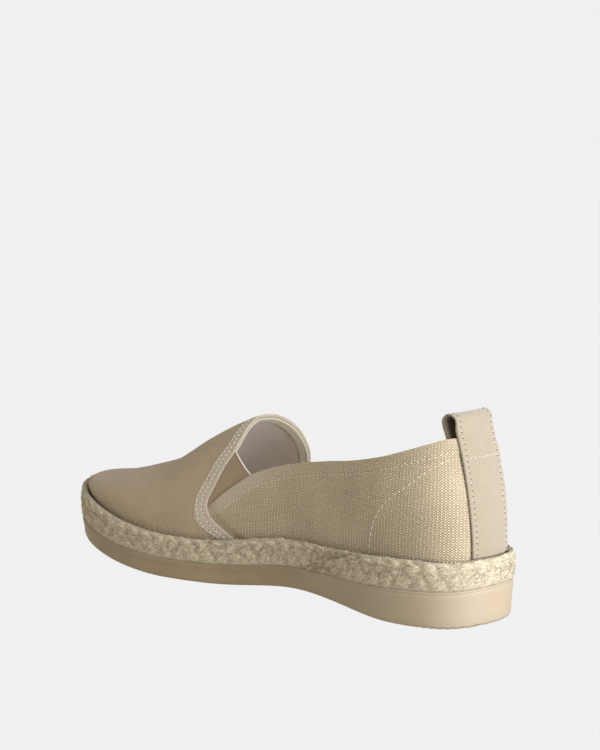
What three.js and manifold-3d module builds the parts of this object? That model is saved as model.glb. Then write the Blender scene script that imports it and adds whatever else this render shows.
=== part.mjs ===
// Slip-on espadrille, right shoe, EU 38, in millimetres.
// While it is built, x runs from the back of the heel (0) to the toe, +y is the medial side, z = 0 is the floor.
// At the end the group is moved so that the middle of its box stands over the origin.
import * as THREE from 'three';
import { mergeVertices } from 'three/addons/utils/BufferGeometryUtils.js';
import Module from 'manifold-3d';

const wasm = await Module();
wasm.setup();

// Driving dimensions
const soleLength = 256;
const toeOffset = 6;          // the toe tip lies this far to the medial side of the heel axis
const gap = 0.3;              // air left between neighbouring pieces
const upperInset = 4;         // the upper's outer face stands this far inside the sole's outline
const upperWall = 2;          // canvas, interlining and lining together
const goreDepth = 0.5;          // the gores lie this far below the canvas face
const goreThick = 1.2;
const soleColumns = 72;       // points round the outline
const stripFoot = [-11, 14];  // y of the heel strip's two edges at the jute
const stripHead = [-14, 13];  // and at the pull loop
const stripThick = 1.2;
const loopTop = 94.8;          // highest point of the pull loop
const loopDepth = 9;          // from the back face of the loop to its front face
const loopFlatten = 0.5;      // how far the loop straightens out of the curve of the heel
const stripSide = 10;           // y at which the heel's depth is taken for that
const insoleThick = 7;
const insoleRim = 1;            // how much higher the footbed's rim stands
const stripTop = 88;            // the strip leaves the heel here and turns over into the loop
const stripRise = 0.5;          // its foot stands this far above the jute
const stripTail = [79, 73];     // heights of its end inside the collar
const kneeZ = 86;               // the inner ply leaves the loop's arc here
const loopStandOff = 0.4;       // the loop's front face stands this far forward of its arc's start
const throatSkew = 0.12;      // the opening leans: x moves by this much per mm of y
const collarDrop = 0.13;      // and z by this much, so the lateral collar is the lower one
const toeSpring = 15.5;
const springStart = 176;
const springPower = 1.8;
const archRaise = 4.8;
const archFrom = 36;
const archTo = 156;
const heelBevel = 1.5;
const heelBevelLong = 18;
const grooveWide = 2.2;
const grooveDeep = 1.6;

// Half widths of the outsole on each side of the heel axis
const outlineTable = [
  { x: 5, medial: 18.5, lateral: 16.5 },
  { x: 18, medial: 28.5, lateral: 27 },
  { x: 42, medial: 32.5, lateral: 33 },
  { x: 75, medial: 30, lateral: 35 },
  { x: 108, medial: 27.5, lateral: 37.5 },
  { x: 140, medial: 31, lateral: 42 },
  { x: 168, medial: 37, lateral: 45.5 },
  { x: 192, medial: 40, lateral: 44.5 },
  { x: 215, medial: 40, lateral: 37.5 },
  { x: 236, medial: 35, lateral: 24 },
  { x: 250, medial: 24, lateral: 9.5 },
];

// Height of the rubber wall and of the jute band standing on it
const wallTable = [
  { x: 0, rubber: 17.5, jute: 12.5 },
  { x: 40, rubber: 16, jute: 14 },
  { x: 80, rubber: 12, jute: 12.5 },
  { x: 120, rubber: 10.4, jute: 13 },
  { x: 160, rubber: 10.2, jute: 11.5 },
  { x: 200, rubber: 10.2, jute: 12.5 },
  { x: 235, rubber: 10, jute: 14.5 },
  { x: 256, rubber: 9.2, jute: 14.5 },
];

// The last: height and sideways place of the ridge line, how much of the width is left on top,
// the exponent of the cross section, how far its sides swell, and how much more on the lateral side
const lastTable = [
  { x: 0, height: 112, side: 0, keep: 0.5, power: 1.45, swell: 0.3, extra: 0 },
  { x: 20, height: 112, side: 0, keep: 0.5, power: 1.55, swell: 1.8, extra: 4 },
  { x: 50, height: 108, side: 0, keep: 0.5, power: 1.8, swell: 1.5, extra: 1.5 },
  { x: 90, height: 98, side: 0, keep: 0.35, power: 1.9, swell: 1, extra: 0.5 },
  { x: 130, height: 84.5, side: 3, keep: 0.06, power: 2, swell: 1, extra: 0 },
  { x: 150, height: 78, side: 3.5, keep: 0, power: 2, swell: 1, extra: 0 },
  { x: 170, height: 68.5, side: 3.5, keep: 0, power: 2, swell: 1.2, extra: 0 },
  { x: 190, height: 56.2, side: 3.5, keep: 0, power: 2.1, swell: 1.5, extra: 0 },
  { x: 210, height: 49, side: 3.5, keep: 0, power: 2.2, swell: 1.8, extra: 0 },
  { x: 230, height: 44.5, side: 4, keep: 0, power: 2.1, swell: 2.2, extra: 0 },
  { x: 256, height: 41, side: 6, keep: 0, power: 2, swell: 2.6, extra: 0 },
];
const heelLean = 24;          // the ridge starts this far forward of the heel's back
const heelLeanFrom = 80;        // a lean that fades out here
const toeLean = 30;           // and ends this far behind the toe
const toeLeanLong = 50;         // over this length

// Collar line from the heel to the foot of the gore, and vamp edge from there up to the instep, in the heel-axis plane
const collarLine = [
  [0, 85], [15, 82.4], [22, 78.8], [33, 74.4], [44, 70.8], [62, 67], [78, 64.9],
  [98, 61.7], [114, 57.8], [128, 52.4], [134, 48.1], [139.5, 44], [146, 38.4], [151, 33.8],
];
const throatLine = [
  [151, 33.8], [150.5, 38], [148, 45], [145.2, 53.7], [141.4, 63], [140, 73.5], [140.2, 82],
];
const goreTopFront = [141.4, 63];
const goreTopRear = [128, 52.4];

// Places of the tread grooves along the shoe, centre to centre
const grooves = [
  [7, 13, 19],
  [178, 185, 192, 199, 206, 213, 220, 227, 234, 241],
].flat();

// Smooth curve through points at the given stations: each slope is that of the chord between the neighbours
function curveAt(stations, values, at) {
  const last = stations.length - 1;
  let i = 0;
  while (i < last - 1 && at > stations[i + 1]) i += 1;
  const slope = (k) => {
    const a = Math.max(0, k - 1);
    const b = Math.min(last, k + 1);
    return (values[b] - values[a]) / (stations[b] - stations[a]);
  };
  const step = stations[i + 1] - stations[i];
  const t = Math.min(1, Math.max(0, (at - stations[i]) / step));
  const rise = values[i + 1] - values[i];
  const m0 = slope(i) * step;
  const m1 = slope(i + 1) * step;
  return values[i] + m0 * t + (3 * rise - 2 * m0 - m1) * t * t + (m0 + m1 - 2 * rise) * t * t * t;
}

const column = (table, name) => table.map((row) => row[name]);
const along = (table, name, x) => curveAt(column(table, 'x'), column(table, name), x);

// The outline as a function of an angle: 0 at the heel, pi at the toe, positive on the medial side
const outlineStations = [];
const outlineWidths = [];
for (const turn of [-1, 0, 1]) {
  const angles = outlineTable.map((row) => Math.acos(1 - (2 * row.x) / soleLength));
  const centre = turn * 2 * Math.PI;
  for (let i = angles.length - 1; i >= 0; i -= 1) {
    outlineStations.push(centre - angles[i]);
    outlineWidths.push(-outlineTable[i].lateral);
  }
  outlineStations.push(centre);
  outlineWidths.push(0);
  for (let i = 0; i < angles.length; i += 1) {
    outlineStations.push(centre + angles[i]);
    outlineWidths.push(outlineTable[i].medial);
  }
  outlineStations.push(centre + Math.PI);
  outlineWidths.push(toeOffset);
}

// A point of the outline moved outwards along its normal
function outlineAt(angle, outward) {
  const d = 1e-4;
  const y = curveAt(outlineStations, outlineWidths, angle);
  const dy = (curveAt(outlineStations, outlineWidths, angle + d) - curveAt(outlineStations, outlineWidths, angle - d));
  const x = (soleLength / 2) * (1 - Math.cos(angle));
  const dx = soleLength * Math.sin(angle) * d;
  const long = Math.hypot(dx, dy);
  return [x - (outward * dy) / long, y + (outward * dx) / long, -dy / long, dx / long];
}

// Underside: flat under heel and ball, raised at the waist, turned up at the toe and a little at the heel
function bottomZ(x) {
  const spring = Math.max(0, (x - springStart) / (soleLength - springStart));
  const heel = Math.max(0, (heelBevelLong - x) / heelBevelLong);
  const waist = x > archFrom && x < archTo ? Math.sin((Math.PI * (x - archFrom)) / (archTo - archFrom)) : 0;
  return toeSpring * spring ** springPower + archRaise * waist ** 2 + heelBevel * heel ** 2;
}
const rubberZ = (x) => bottomZ(x) + along(wallTable, 'rubber', x);
const juteZ = (x) => rubberZ(x) + along(wallTable, 'jute', x);

// The upper's surface. v = 0 at the jute, 1 at the ridge; depth is measured into the shoe.
function lastPoint(angle, v, depth) {
  const side = Math.sign(angle) || 1;
  const open = Math.abs(angle);
  const here = outlineAt(angle, -(upperInset + depth));
  const there = outlineAt(-angle, -(upperInset + depth));
  const x = (soleLength / 2) * (1 - Math.cos(open));
  const power = along(lastTable, 'power', x);
  const bend = (v * Math.PI) / 2;
  const inward = 1 - Math.cos(bend) ** (2 / power);
  const upward = Math.sin(bend) ** (2 / power);
  const back = Math.max(0, 1 - x / heelLeanFrom);
  const front = Math.max(0, (x - soleLength + toeLeanLong) / toeLeanLong);
  const ridgeX = (here[0] + there[0]) / 2 + heelLean * back ** 2 - toeLean * front ** 2;
  const sideways = along(lastTable, 'side', x);
  const keep = Math.max(0, along(lastTable, 'keep', x));
  const ridgeY = sideways + keep * (here[1] - sideways);
  const fullness = along(lastTable, 'swell', x) + (side > 0 ? 0 : along(lastTable, 'extra', x));
  const swell = fullness * Math.sin(Math.PI * v ** 0.75);
  const foot = juteZ(here[0]);
  const top = along(lastTable, 'height', ridgeX) - depth;
  const slope = (along(lastTable, 'height', ridgeX + 2) - along(lastTable, 'height', ridgeX - 2)) / 4;
  const px = here[0] + (ridgeX - here[0]) * inward;
  const py = here[1] + (ridgeY - here[1]) * inward;
  const tilt = x > soleLength / 2 ? slope * (px - ridgeX) * upward ** 3 : 0;
  return [px + here[2] * swell, py + here[3] * swell, foot + (top - foot) * upward + tilt];
}

// A closed mesh from triangles given as points; corners that coincide are joined and flat slivers dropped
function solidOf(triangles) {
  const flat = new Float32Array(triangles.flat(2));
  const geometry = new THREE.BufferGeometry();
  geometry.setAttribute('position', new THREE.BufferAttribute(flat, 3));
  const joined = mergeVertices(geometry, 1e-3);
  const index = joined.index.array;
  const kept = [];
  for (let i = 0; i < index.length; i += 3) {
    const [a, b, c] = [index[i], index[i + 1], index[i + 2]];
    if (a !== b && b !== c && c !== a) kept.push(a, b, c);
  }
  const mesh = new wasm.Mesh({
    numProp: 3,
    vertProperties: new Float32Array(joined.attributes.position.array),
    triVerts: new Uint32Array(kept),
  });
  return new wasm.Manifold(mesh);
}

// Two triangles for each cell between consecutive rows; closed rows also join their last point to their first
function skin(rows, closed) {
  const triangles = [];
  for (let i = 0; i + 1 < rows.length; i += 1) {
    const n = rows[i].length;
    for (let j = 0; j < (closed ? n : n - 1); j += 1) {
      const k = (j + 1) % n;
      triangles.push([rows[i][j], rows[i][k], rows[i + 1][k]]);
      triangles.push([rows[i][j], rows[i + 1][k], rows[i + 1][j]]);
    }
  }
  return triangles;
}

const flipped = (triangles) => triangles.map(([a, b, c]) => [a, c, b]);

// Angles round the outline, starting at the heel and going along the medial side first
const angles = Array.from({ length: soleColumns }, (_, i) => {
  const turn = (2 * Math.PI * i) / soleColumns;
  return turn > Math.PI + 1e-9 ? turn - 2 * Math.PI : turn;
});

// Fills a loop that runs round the shoe with strips from one side to the other
function capOf(loop) {
  const n = loop.length;
  const triangles = [];
  for (let i = 0; i < n / 2; i += 1) {
    const [a, b] = [loop[i], loop[i + 1]];
    const [c, d] = [loop[n - 1 - i], loop[(n - i) % n]];
    triangles.push([a, b, c], [a, c, d]);
  }
  return triangles;
}

// A loop at a given inset whose height is a function of x
const loopAt = (outward, height) => angles.map((angle) => {
  const [x, y] = outlineAt(angle, outward);
  return [x, y, height(x)];
});

// A solid between two loops, closed above and below
function slab(loops) {
  const top = loops[loops.length - 1];
  return solidOf([...flipped(skin(loops, true)), ...capOf(loops[0]), ...flipped(capOf(top))]);
}

function positive(solid) {
  if (solid.volume() > 0) return solid;
  throw new Error('a solid is inside out');
}

// A solid from triangles that all face the same way, turned so that they face out
function outwards(triangles) {
  const solid = solidOf(triangles);
  return solid.volume() > 0 ? solid : solidOf(flipped(triangles));
}

// A prism across the shoe over a profile in x and z. Each mm of y moves its section by leanX and leanZ.
function prism(profile, fromY, toY, leanX, leanZ) {
  const ends = [fromY, toY].map((y) => profile.map(([x, z]) => [x + leanX * y, y, z + leanZ * y]));
  const faces = THREE.ShapeUtils.triangulateShape(profile.map(([x, z]) => new THREE.Vector2(x, z)), []);
  const triangles = skin(ends, true);
  for (const [a, b, c] of faces) {
    triangles.push([ends[0][a], ends[0][c], ends[0][b]]);
    triangles.push([ends[1][a], ends[1][b], ends[1][c]]);
  }
  return outwards(triangles);
}

// A prism that leans with the opening of the shoe
const acrossShoe = (profile, fromY, toY) => prism(profile, fromY, toY, throatSkew, collarDrop);

// Outsole: rubber slab with a rounded lower edge and cross grooves
function makeOutsole() {
  const body = slab([
    loopAt(-2.6, bottomZ),
    loopAt(-1.4, (x) => bottomZ(x) + 0.5),
    loopAt(-0.9, (x) => bottomZ(x) + 1.6),
    loopAt(0, (x) => bottomZ(x) + 0.8 * along(wallTable, 'rubber', x)),
    loopAt(-0.1, (x) => rubberZ(x) - 0.5),
    loopAt(-0.6, rubberZ),
  ]);
  return positive(grooves.reduce((left, x) => {
    const top = bottomZ(x) + grooveDeep;
    const [rear, front] = [x - grooveWide / 2, x + grooveWide / 2];
    return left.subtract(prism([[rear, top - 12], [front, top - 12], [front, top], [rear, top]], -60, 60, 0, 0));
  }, body));
}

// Jute band: outward place and share of the band's height, counted from the foot of its inner face
const juteSection = [
  { outward: gap - upperInset, rise: 0 },
  { outward: -0.9, rise: 0 },
  { outward: 0.1, rise: 0.1 },
  { outward: 0.7, rise: 0.35 },
  { outward: 0.6, rise: 0.65 },
  { outward: -0.2, rise: 0.88 },
  { outward: -1.8, rise: 0.99 },
  { outward: gap - upperInset, rise: 0.97 },
];

function makeJuteBand() {
  const rows = juteSection.map(({ outward, rise }) => loopAt(outward, (x) => {
    const foot = rubberZ(x) + gap;
    return foot + (juteZ(x) - foot) * rise;
  }));
  return positive(solidOf(flipped(skin([...rows, rows[0]], true))));
}

// The closed last form whose skin lies at a depth below the upper's face, standing on the rubber
const lastRows = [0, 0.03, 0.08, 0.15, 0.23, 0.32, 0.42, 0.52, 0.62, 0.72, 0.82, 0.91, 1];

function lastForm(depth, foot) {
  const rows = [loopAt(-(upperInset + depth), foot)];
  for (const v of lastRows) rows.push(angles.map((angle) => lastPoint(angle, v, depth)));
  return slab(rows);
}

// Upper: vamp and quarters as one hollow shell, open at the collar and underneath
function makeUpper() {
  const outer = lastForm(0, (x) => rubberZ(x) + gap);
  const inner = lastForm(upperWall, (x) => rubberZ(x) - 2);
  const mouth = [[-30, 150], [-30, 88], ...collarLine, ...throatLine.slice(1), [140.2, 150]];
  const opening = acrossShoe(mouth, -80, 80);
  return positive(outer.subtract(inner).subtract(opening));
}

// Gores: elastic panels in the notch between vamp and quarter, a little below the canvas face
function makeGores() {
  const outer = lastForm(goreDepth, (x) => rubberZ(x) + gap);
  const shell = outer.subtract(lastForm(goreDepth + goreThick, (x) => rubberZ(x) - 2));
  const front = throatLine.filter(([, z]) => z > 34 && z < goreTopFront[1]);
  const rear = collarLine.filter(([x]) => x > goreTopRear[0] && x < 150);
  const shrink = gap + 0.05;
  const profile = [
    [150.4, 35.2],
    ...front.map(([x, z]) => [x - shrink, z - 0.1]),
    [goreTopFront[0] - shrink, goreTopFront[1] - 1],
    [goreTopRear[0] + 0.7, goreTopRear[1] + 0.1],
    ...rear.map(([x, z]) => [x + 0.22, z + shrink]),
  ];
  return {
    medial: positive(shell.intersect(acrossShoe(profile, 0, 80))),
    lateral: positive(shell.intersect(acrossShoe(profile, -80, 0))),
  };
}

// The x of the upper's face at a given y and z near the heel, by halving the interval twice over
function heelX(y, z, depth) {
  const side = y < 0 ? -1 : 1;
  const reach = Math.max(Math.abs(y), 0.01);
  const atHeight = (angle) => {
    let [low, high] = [0, 1];
    for (let i = 0; i < 30; i += 1) {
      const mid = (low + high) / 2;
      if (lastPoint(angle, mid, depth)[2] < z) low = mid;
      else high = mid;
    }
    return lastPoint(angle, low, depth);
  };
  let [low, high] = [1e-4, 1.2];
  for (let i = 0; i < 30; i += 1) {
    const mid = (low + high) / 2;
    if (Math.abs(atHeight(side * mid)[1]) < reach) low = mid;
    else high = mid;
  }
  return atHeight(side * low)[0];
}

// Heel strip and pull loop: one ribbon up the back, over in a loop and down inside the collar.
// Each column is the ribbon's section at one share of its width (0 lateral, 1 medial),
// walked up its back face and down again along its front face.
function ribbonColumn(share) {
  const foot = juteZ(outlineTable[0].x) + stripRise;
  const width = (z) => {
    const up = Math.min(1, Math.max(0, (z - foot) / (stripTop - foot)));
    const edge = (k) => stripFoot[k] + (stripHead[k] - stripFoot[k]) * up;
    return edge(0) + (edge(1) - edge(0)) * share;
  };
  const rows = [foot, 38, 46, 54, 62, 70, 78, 84, stripTop];
  const wallPoint = (z, depth) => [heelX(width(z), z, depth), width(z), z];
  const back = rows.map((z) => wallPoint(z, -gap - stripThick));
  const front = rows.map((z) => wallPoint(z, -gap));
  const y = width(loopTop);
  const radius = loopDepth / 2;
  const curved = heelX(y, stripTop, -gap - stripThick);
  const straight = heelX(stripSide, stripTop, -gap - stripThick);
  const centreX = curved + (straight - curved) * loopFlatten + loopStandOff + radius;
  const centreZ = loopTop - radius;
  const arc = (r) => Array.from({ length: 9 }, (_, i) => {
    const turn = Math.PI - (Math.PI * i) / 8;
    return [centreX + r * Math.cos(turn), y, centreZ + r * Math.sin(turn)];
  });
  const knee = [centreX + radius - loopStandOff, y, kneeZ];
  const downFront = [knee, ...stripTail.map((z) => wallPoint(z, upperWall + gap + stripThick))];
  const upBack = [...stripTail.map((z) => wallPoint(z, upperWall + gap)).reverse(), [knee[0] - stripThick, y, kneeZ]];
  return [...back, ...arc(radius), ...downFront, ...upBack, ...arc(radius - stripThick).reverse(), ...front.reverse()];
}

function makeHeelStrip() {
  const columns = [0, 0.12, 0.25, 0.375, 0.5, 0.625, 0.75, 0.88, 1].map(ribbonColumn);
  const section = columns[0].map(([x, , z]) => new THREE.Vector2(x, z));
  const faces = THREE.ShapeUtils.triangulateShape(section, []);
  const triangles = skin(columns, true);
  const [first, last] = [columns[0], columns[columns.length - 1]];
  for (const [a, b, c] of faces) {
    triangles.push([first[a], first[b], first[c]]);
    triangles.push([last[a], last[c], last[b]]);
  }
  return positive(outwards(triangles));
}

// Insole: footbed lying on the rubber inside the upper, its rim a little higher than its middle
function makeInsole() {
  const inset = upperInset + upperWall + gap;
  const base = (x) => rubberZ(x) + gap;
  return positive(slab([
    loopAt(-inset, base),
    loopAt(-inset, (x) => base(x) + insoleThick + 0.6),
    loopAt(-inset - 1.2, (x) => base(x) + insoleThick + insoleRim),
    loopAt(-inset - 8, (x) => base(x) + insoleThick),
  ]));
}

const gores = makeGores();
const pieces = [
  { name: 'outsole', solid: makeOutsole(), color: 0xd9c6a6, roughness: 0.7 },
  { name: 'jute_band', solid: makeJuteBand(), color: 0xc2b28c, roughness: 0.95 },
  { name: 'upper', solid: makeUpper(), color: 0xb3a283, roughness: 0.9 },
  { name: 'gore_medial', solid: gores.medial, color: 0xa08a68, roughness: 0.85 },
  { name: 'gore_lateral', solid: gores.lateral, color: 0xa08a68, roughness: 0.85 },
  { name: 'heel_strip', solid: makeHeelStrip(), color: 0xe0cfb4, roughness: 0.9 },
  { name: 'insole', solid: makeInsole(), color: 0xd8d2c4, roughness: 0.9 },
];

// Where the middle of the whole box stands while building
const box = new THREE.Box3();
for (const { solid } of pieces) {
  const { min, max } = solid.boundingBox();
  box.union(new THREE.Box3(new THREE.Vector3(...min), new THREE.Vector3(...max)));
}
const middle = box.getCenter(new THREE.Vector3());

const espadrille = new THREE.Group();
espadrille.name = 'espadrille';
espadrille.position.set(-middle.x, -middle.y, -box.min.z);
for (const { name, solid, color, roughness } of pieces) {
  const { vertProperties, triVerts, numProp } = solid.getMesh();
  const geometry = new THREE.BufferGeometry();
  const positions = new Float32Array((vertProperties.length / numProp) * 3);
  for (let i = 0; i < positions.length / 3; i += 1) {
    positions.set(vertProperties.subarray(i * numProp, i * numProp + 3), i * 3);
  }
  geometry.setAttribute('position', new THREE.BufferAttribute(positions, 3));
  geometry.setIndex(new THREE.BufferAttribute(triVerts, 1));
  const mesh = new THREE.Mesh(geometry, new THREE.MeshStandardMaterial({ color, roughness, metalness: 0 }));
  mesh.name = name;
  espadrille.add(mesh);
}

export default espadrille;
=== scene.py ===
import math

import bmesh
import bpy
import numpy as np
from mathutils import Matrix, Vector


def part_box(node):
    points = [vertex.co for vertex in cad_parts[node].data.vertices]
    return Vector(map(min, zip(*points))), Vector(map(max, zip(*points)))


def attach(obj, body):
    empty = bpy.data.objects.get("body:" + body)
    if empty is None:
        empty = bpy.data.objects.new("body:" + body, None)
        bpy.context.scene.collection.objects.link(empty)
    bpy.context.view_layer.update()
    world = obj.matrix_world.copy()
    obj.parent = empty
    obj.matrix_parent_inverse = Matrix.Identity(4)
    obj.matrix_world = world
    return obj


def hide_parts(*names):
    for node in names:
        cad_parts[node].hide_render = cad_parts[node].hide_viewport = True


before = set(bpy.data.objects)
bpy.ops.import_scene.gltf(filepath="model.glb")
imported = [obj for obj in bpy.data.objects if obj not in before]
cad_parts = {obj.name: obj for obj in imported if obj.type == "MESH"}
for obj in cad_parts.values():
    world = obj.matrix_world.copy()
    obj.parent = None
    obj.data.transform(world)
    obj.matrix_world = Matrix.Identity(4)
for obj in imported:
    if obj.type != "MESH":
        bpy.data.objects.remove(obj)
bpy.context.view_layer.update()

sole = {
    "length": 256.0,
    "toeOffset": 6.0,
    "toeSpring": 15.5,
    "springStart": 176.0,
    "springPower": 1.8,
    "archRaise": 4.8,
    "archFrom": 36.0,
    "archTo": 156.0,
    "heelBevel": 1.5,
    "heelBevelLong": 18.0,
}

lastForm = {
    "inset": 4.0,  # the canvas face stands this far inside the sole's outline
    "heelLean": 24.0,  # the ridge starts this far in from the heel
    "heelLeanFrom": 80.0,
    "toeLean": 30.0,  # and ends this far back from the toe
    "toeLeanLong": 50.0,
    "skew": 0.12,  # the opening leans: x moves by this much per mm of y
    "drop": 0.13,  # and z by this much, so the lateral collar is the lower one
    "lateralEase": 0.065,  # the vamp edge leans less on the lateral side
    "goreSink": 7.5,  # the lateral gore's top edge is lower still
    "goreSinkFrom": 118.0,
    "goreSinkLong": 14.0,
    "halvings": 36,
}

# Half widths of the outsole: x, medial, lateral
outlineTable = np.array([
    (5, 18.5, 16.5), (18, 28.5, 27), (42, 32.5, 33), (75, 30, 35), (108, 27.5, 37.5), (140, 31, 42),
    (168, 37, 45.5), (192, 40, 44.5), (215, 40, 37.5), (236, 35, 24), (250, 24, 9.5),
])

# Heights of the sole's layers: x, rubber wall, jute band
wallTable = np.array([
    (0, 17.5, 12.5), (40, 16, 14), (80, 12, 12.5), (120, 10.4, 13),
    (160, 10.2, 11.5), (200, 10.2, 12.5), (235, 10, 14.5), (256, 9.2, 14.5),
])

# The last: x, ridge height, ridge side, width kept on top, exponent, swell of the sides, more swell
# laterally
lastTable = np.array([
    (0, 112, 0, 0.5, 1.45, 0.3, 0), (20, 112, 0, 0.5, 1.55, 1.8, 4), (50, 108, 0, 0.5, 1.8, 1.5, 1.5),
    (90, 98, 0, 0.35, 1.9, 1, 0.5), (130, 84.5, 3, 0.06, 2, 1, 0), (150, 78, 3.5, 0, 2, 1, 0),
    (170, 68.5, 3.5, 0, 2, 1.2, 0), (190, 56.4, 3.5, 0, 2.1, 1.5, 0), (210, 49.9, 3.5, 0, 2.2, 1.8, 0),
    (230, 44.5, 4, 0, 2.1, 2.2, 0), (256, 39.8, 6, 0, 2, 2.6, 0),
])

# Collar from the heel to the foot of the gore and on under the vamp, as height over length in the leaning
# plane
collarTable = np.array([
    (-12, 86.2), (0, 85), (15, 82.4), (22, 78.8), (33, 74.4), (44, 70.8), (62, 67), (78, 64.9), (98, 61.7),
    (114, 57.8), (128, 52.4), (134, 48.1), (139.5, 44), (146, 38.4), (151, 33.8), (158, 28.6), (166, 24),
])

# Vamp edge from the jute up to the instep, as length over height in the leaning plane
vampTable = np.array([
    (2, 119), (10, 126.5), (14, 130), (19.4, 135.5), (25, 144), (29, 148.6), (33.8, 151), (38, 150.6),
    (45, 148), (53.7, 145.2), (63, 141.4), (73.5, 140), (82, 140.2), (100, 140.6),
])

# Top edge of the gore, from behind the quarter to under the vamp
goreTopTable = np.array([(118, 48.2), (128, 52.4), (141.4, 63), (146, 66.6)])


# Smooth curve through points: between two stations it is a cubic whose slope at each is that of the chord
# between that station's neighbours.
def curveAt(stations, values, at):
    slope = np.empty(len(values))
    slope[1:-1] = (values[2:] - values[:-2]) / (stations[2:] - stations[:-2])
    slope[0] = (values[1] - values[0]) / (stations[1] - stations[0])
    slope[-1] = (values[-1] - values[-2]) / (stations[-1] - stations[-2])
    i = np.clip(np.searchsorted(stations, at, side="left") - 1, 0, len(stations) - 2)
    step = stations[i + 1] - stations[i]
    t = np.clip((at - stations[i]) / step, 0, 1)
    rise = values[i + 1] - values[i]
    m0 = slope[i] * step
    m1 = slope[i + 1] * step
    return values[i] + m0 * t + (3 * rise - 2 * m0 - m1) * t**2 + (m0 + m1 - 2 * rise) * t**3


def column(table, k, x):
    return curveAt(table[:, 0], table[:, k], x)


def smooth(t):
    t = np.clip(t, 0, 1)
    return t * t * (3 - 2 * t)


def unit(vectors):
    return vectors / np.maximum(np.linalg.norm(vectors, axis=-1, keepdims=True), 1e-9)


# Length run so far along a path, or down each column of a grid of points
def runLength(path):
    steps = np.linalg.norm(np.diff(path, axis=0), axis=-1)
    return np.concatenate([np.zeros_like(steps[:1]), np.cumsum(steps, axis=0)])


# The outline's knots over an angle that is 0 at the heel, pi at the toe and positive on the medial side
knotAngles = np.arccos(1 - 2 * outlineTable[:, 0] / sole["length"])
oneTurn = np.concatenate([-knotAngles[::-1], [0], knotAngles, [math.pi]])
oneWidth = np.concatenate([-outlineTable[::-1, 2], [0], outlineTable[:, 1], [sole["toeOffset"]]])
outlineAngles = np.concatenate([oneTurn - 2 * math.pi, oneTurn, oneTurn + 2 * math.pi])
outlineWidths = np.tile(oneWidth, 3)


# Outline of the sole: x follows the cosine of the angle, y the curve of half widths; moved out along the
# normal.
def outlineAt(angle, outward):
    d = 1e-4
    y = curveAt(outlineAngles, outlineWidths, angle)
    dy = curveAt(outlineAngles, outlineWidths, angle + d) - curveAt(outlineAngles, outlineWidths, angle - d)
    x = sole["length"] / 2 * (1 - np.cos(angle))
    dx = sole["length"] * np.sin(angle) * d
    long = np.hypot(dx, dy)
    return x - outward * dy / long, y + outward * dx / long, -dy / long, dx / long


# Angle at which the outline stands at a length x, on the medial side
def angleAt(x):
    return np.arccos(1 - 2 * np.asarray(x) / sole["length"])


# Angles all the way round, from the heel over the medial side to the toe and back over the lateral side
def ringOf(count):
    angle = np.linspace(0, 2 * math.pi, count, endpoint=False)
    return np.where(angle > math.pi, angle - 2 * math.pi, angle)


# Underside: flat, plus a power curve at the toe, a squared sine at the waist and a small bevel at the
# heel.
def bottomZ(x):
    spring = np.maximum(0, (x - sole["springStart"]) / (sole["length"] - sole["springStart"]))
    heel = np.maximum(0, (sole["heelBevelLong"] - x) / sole["heelBevelLong"])
    share = np.clip((x - sole["archFrom"]) / (sole["archTo"] - sole["archFrom"]), 0, 1)
    toe = sole["toeSpring"] * spring ** sole["springPower"]
    return toe + sole["archRaise"] * np.sin(math.pi * share) ** 2 + sole["heelBevel"] * heel**2


def rubberZ(x):
    return bottomZ(x) + column(wallTable, 1, x)


def juteZ(x):
    return rubberZ(x) + column(wallTable, 2, x)


# The last's skin over the outline angle and v, 0 at the jute and 1 at the ridge: each section is a
# superellipse from the foot to the ridge, with a sine swell of its side. Depth is measured into the shoe.
def lastPoint(angle, v, depth=0.0):
    angle, v, depth = np.broadcast_arrays(angle, v, depth)
    apart = np.abs(angle)
    hereX, hereY, normalX, normalY = outlineAt(angle, -(lastForm["inset"] + depth))
    thereX = outlineAt(-angle, -(lastForm["inset"] + depth))[0]
    x = sole["length"] / 2 * (1 - np.cos(apart))
    power = column(lastTable, 4, x)
    bend = np.clip(v, 0, 1) * math.pi / 2
    inward = 1 - np.cos(bend) ** (2 / power)
    upward = np.sin(bend) ** (2 / power)
    back = np.maximum(0, 1 - x / lastForm["heelLeanFrom"])
    front = np.maximum(0, 1 - (sole["length"] - x) / lastForm["toeLeanLong"])
    ridgeX = (hereX + thereX) / 2 + lastForm["heelLean"] * back**2 - lastForm["toeLean"] * front**2
    side = column(lastTable, 2, x)
    ridgeY = side + np.maximum(0, column(lastTable, 3, x)) * (hereY - side)
    fullness = column(lastTable, 5, x) + np.where(angle < 0, column(lastTable, 6, x), 0)
    swell = fullness * np.sin(math.pi * np.clip(v, 0, 1) ** 0.75)
    foot = juteZ(hereX)
    top = column(lastTable, 1, ridgeX) - depth
    slope = (column(lastTable, 1, ridgeX + 2) - column(lastTable, 1, ridgeX - 2)) / 4
    px = hereX + (ridgeX - hereX) * inward
    py = hereY + (ridgeY - hereY) * inward
    tilt = np.where(x > sole["length"] / 2, slope * (px - ridgeX) * upward**3, 0)
    points = [px + normalX * swell, py + normalY * swell, foot + (top - foot) * upward + tilt]
    return np.stack(points, axis=-1)


# Place in the leaning plane in which the collar and the vamp edge are drawn
def leaning(points):
    x, y, z = points[..., 0], points[..., 1], points[..., 2]
    return x - lastForm["skew"] * y, z - lastForm["drop"] * y


# Distance ahead of the vamp edge, and below the collar, both measured square to that edge in the leaning
# plane
def aheadOfVamp(points):
    x, z = leaning(points)
    x = x + lastForm["lateralEase"] * np.minimum(points[..., 1], 0)
    slope = column(vampTable, 1, z + 0.5) - column(vampTable, 1, z - 0.5)
    return (x - column(vampTable, 1, z)) / np.hypot(1, slope)


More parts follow.
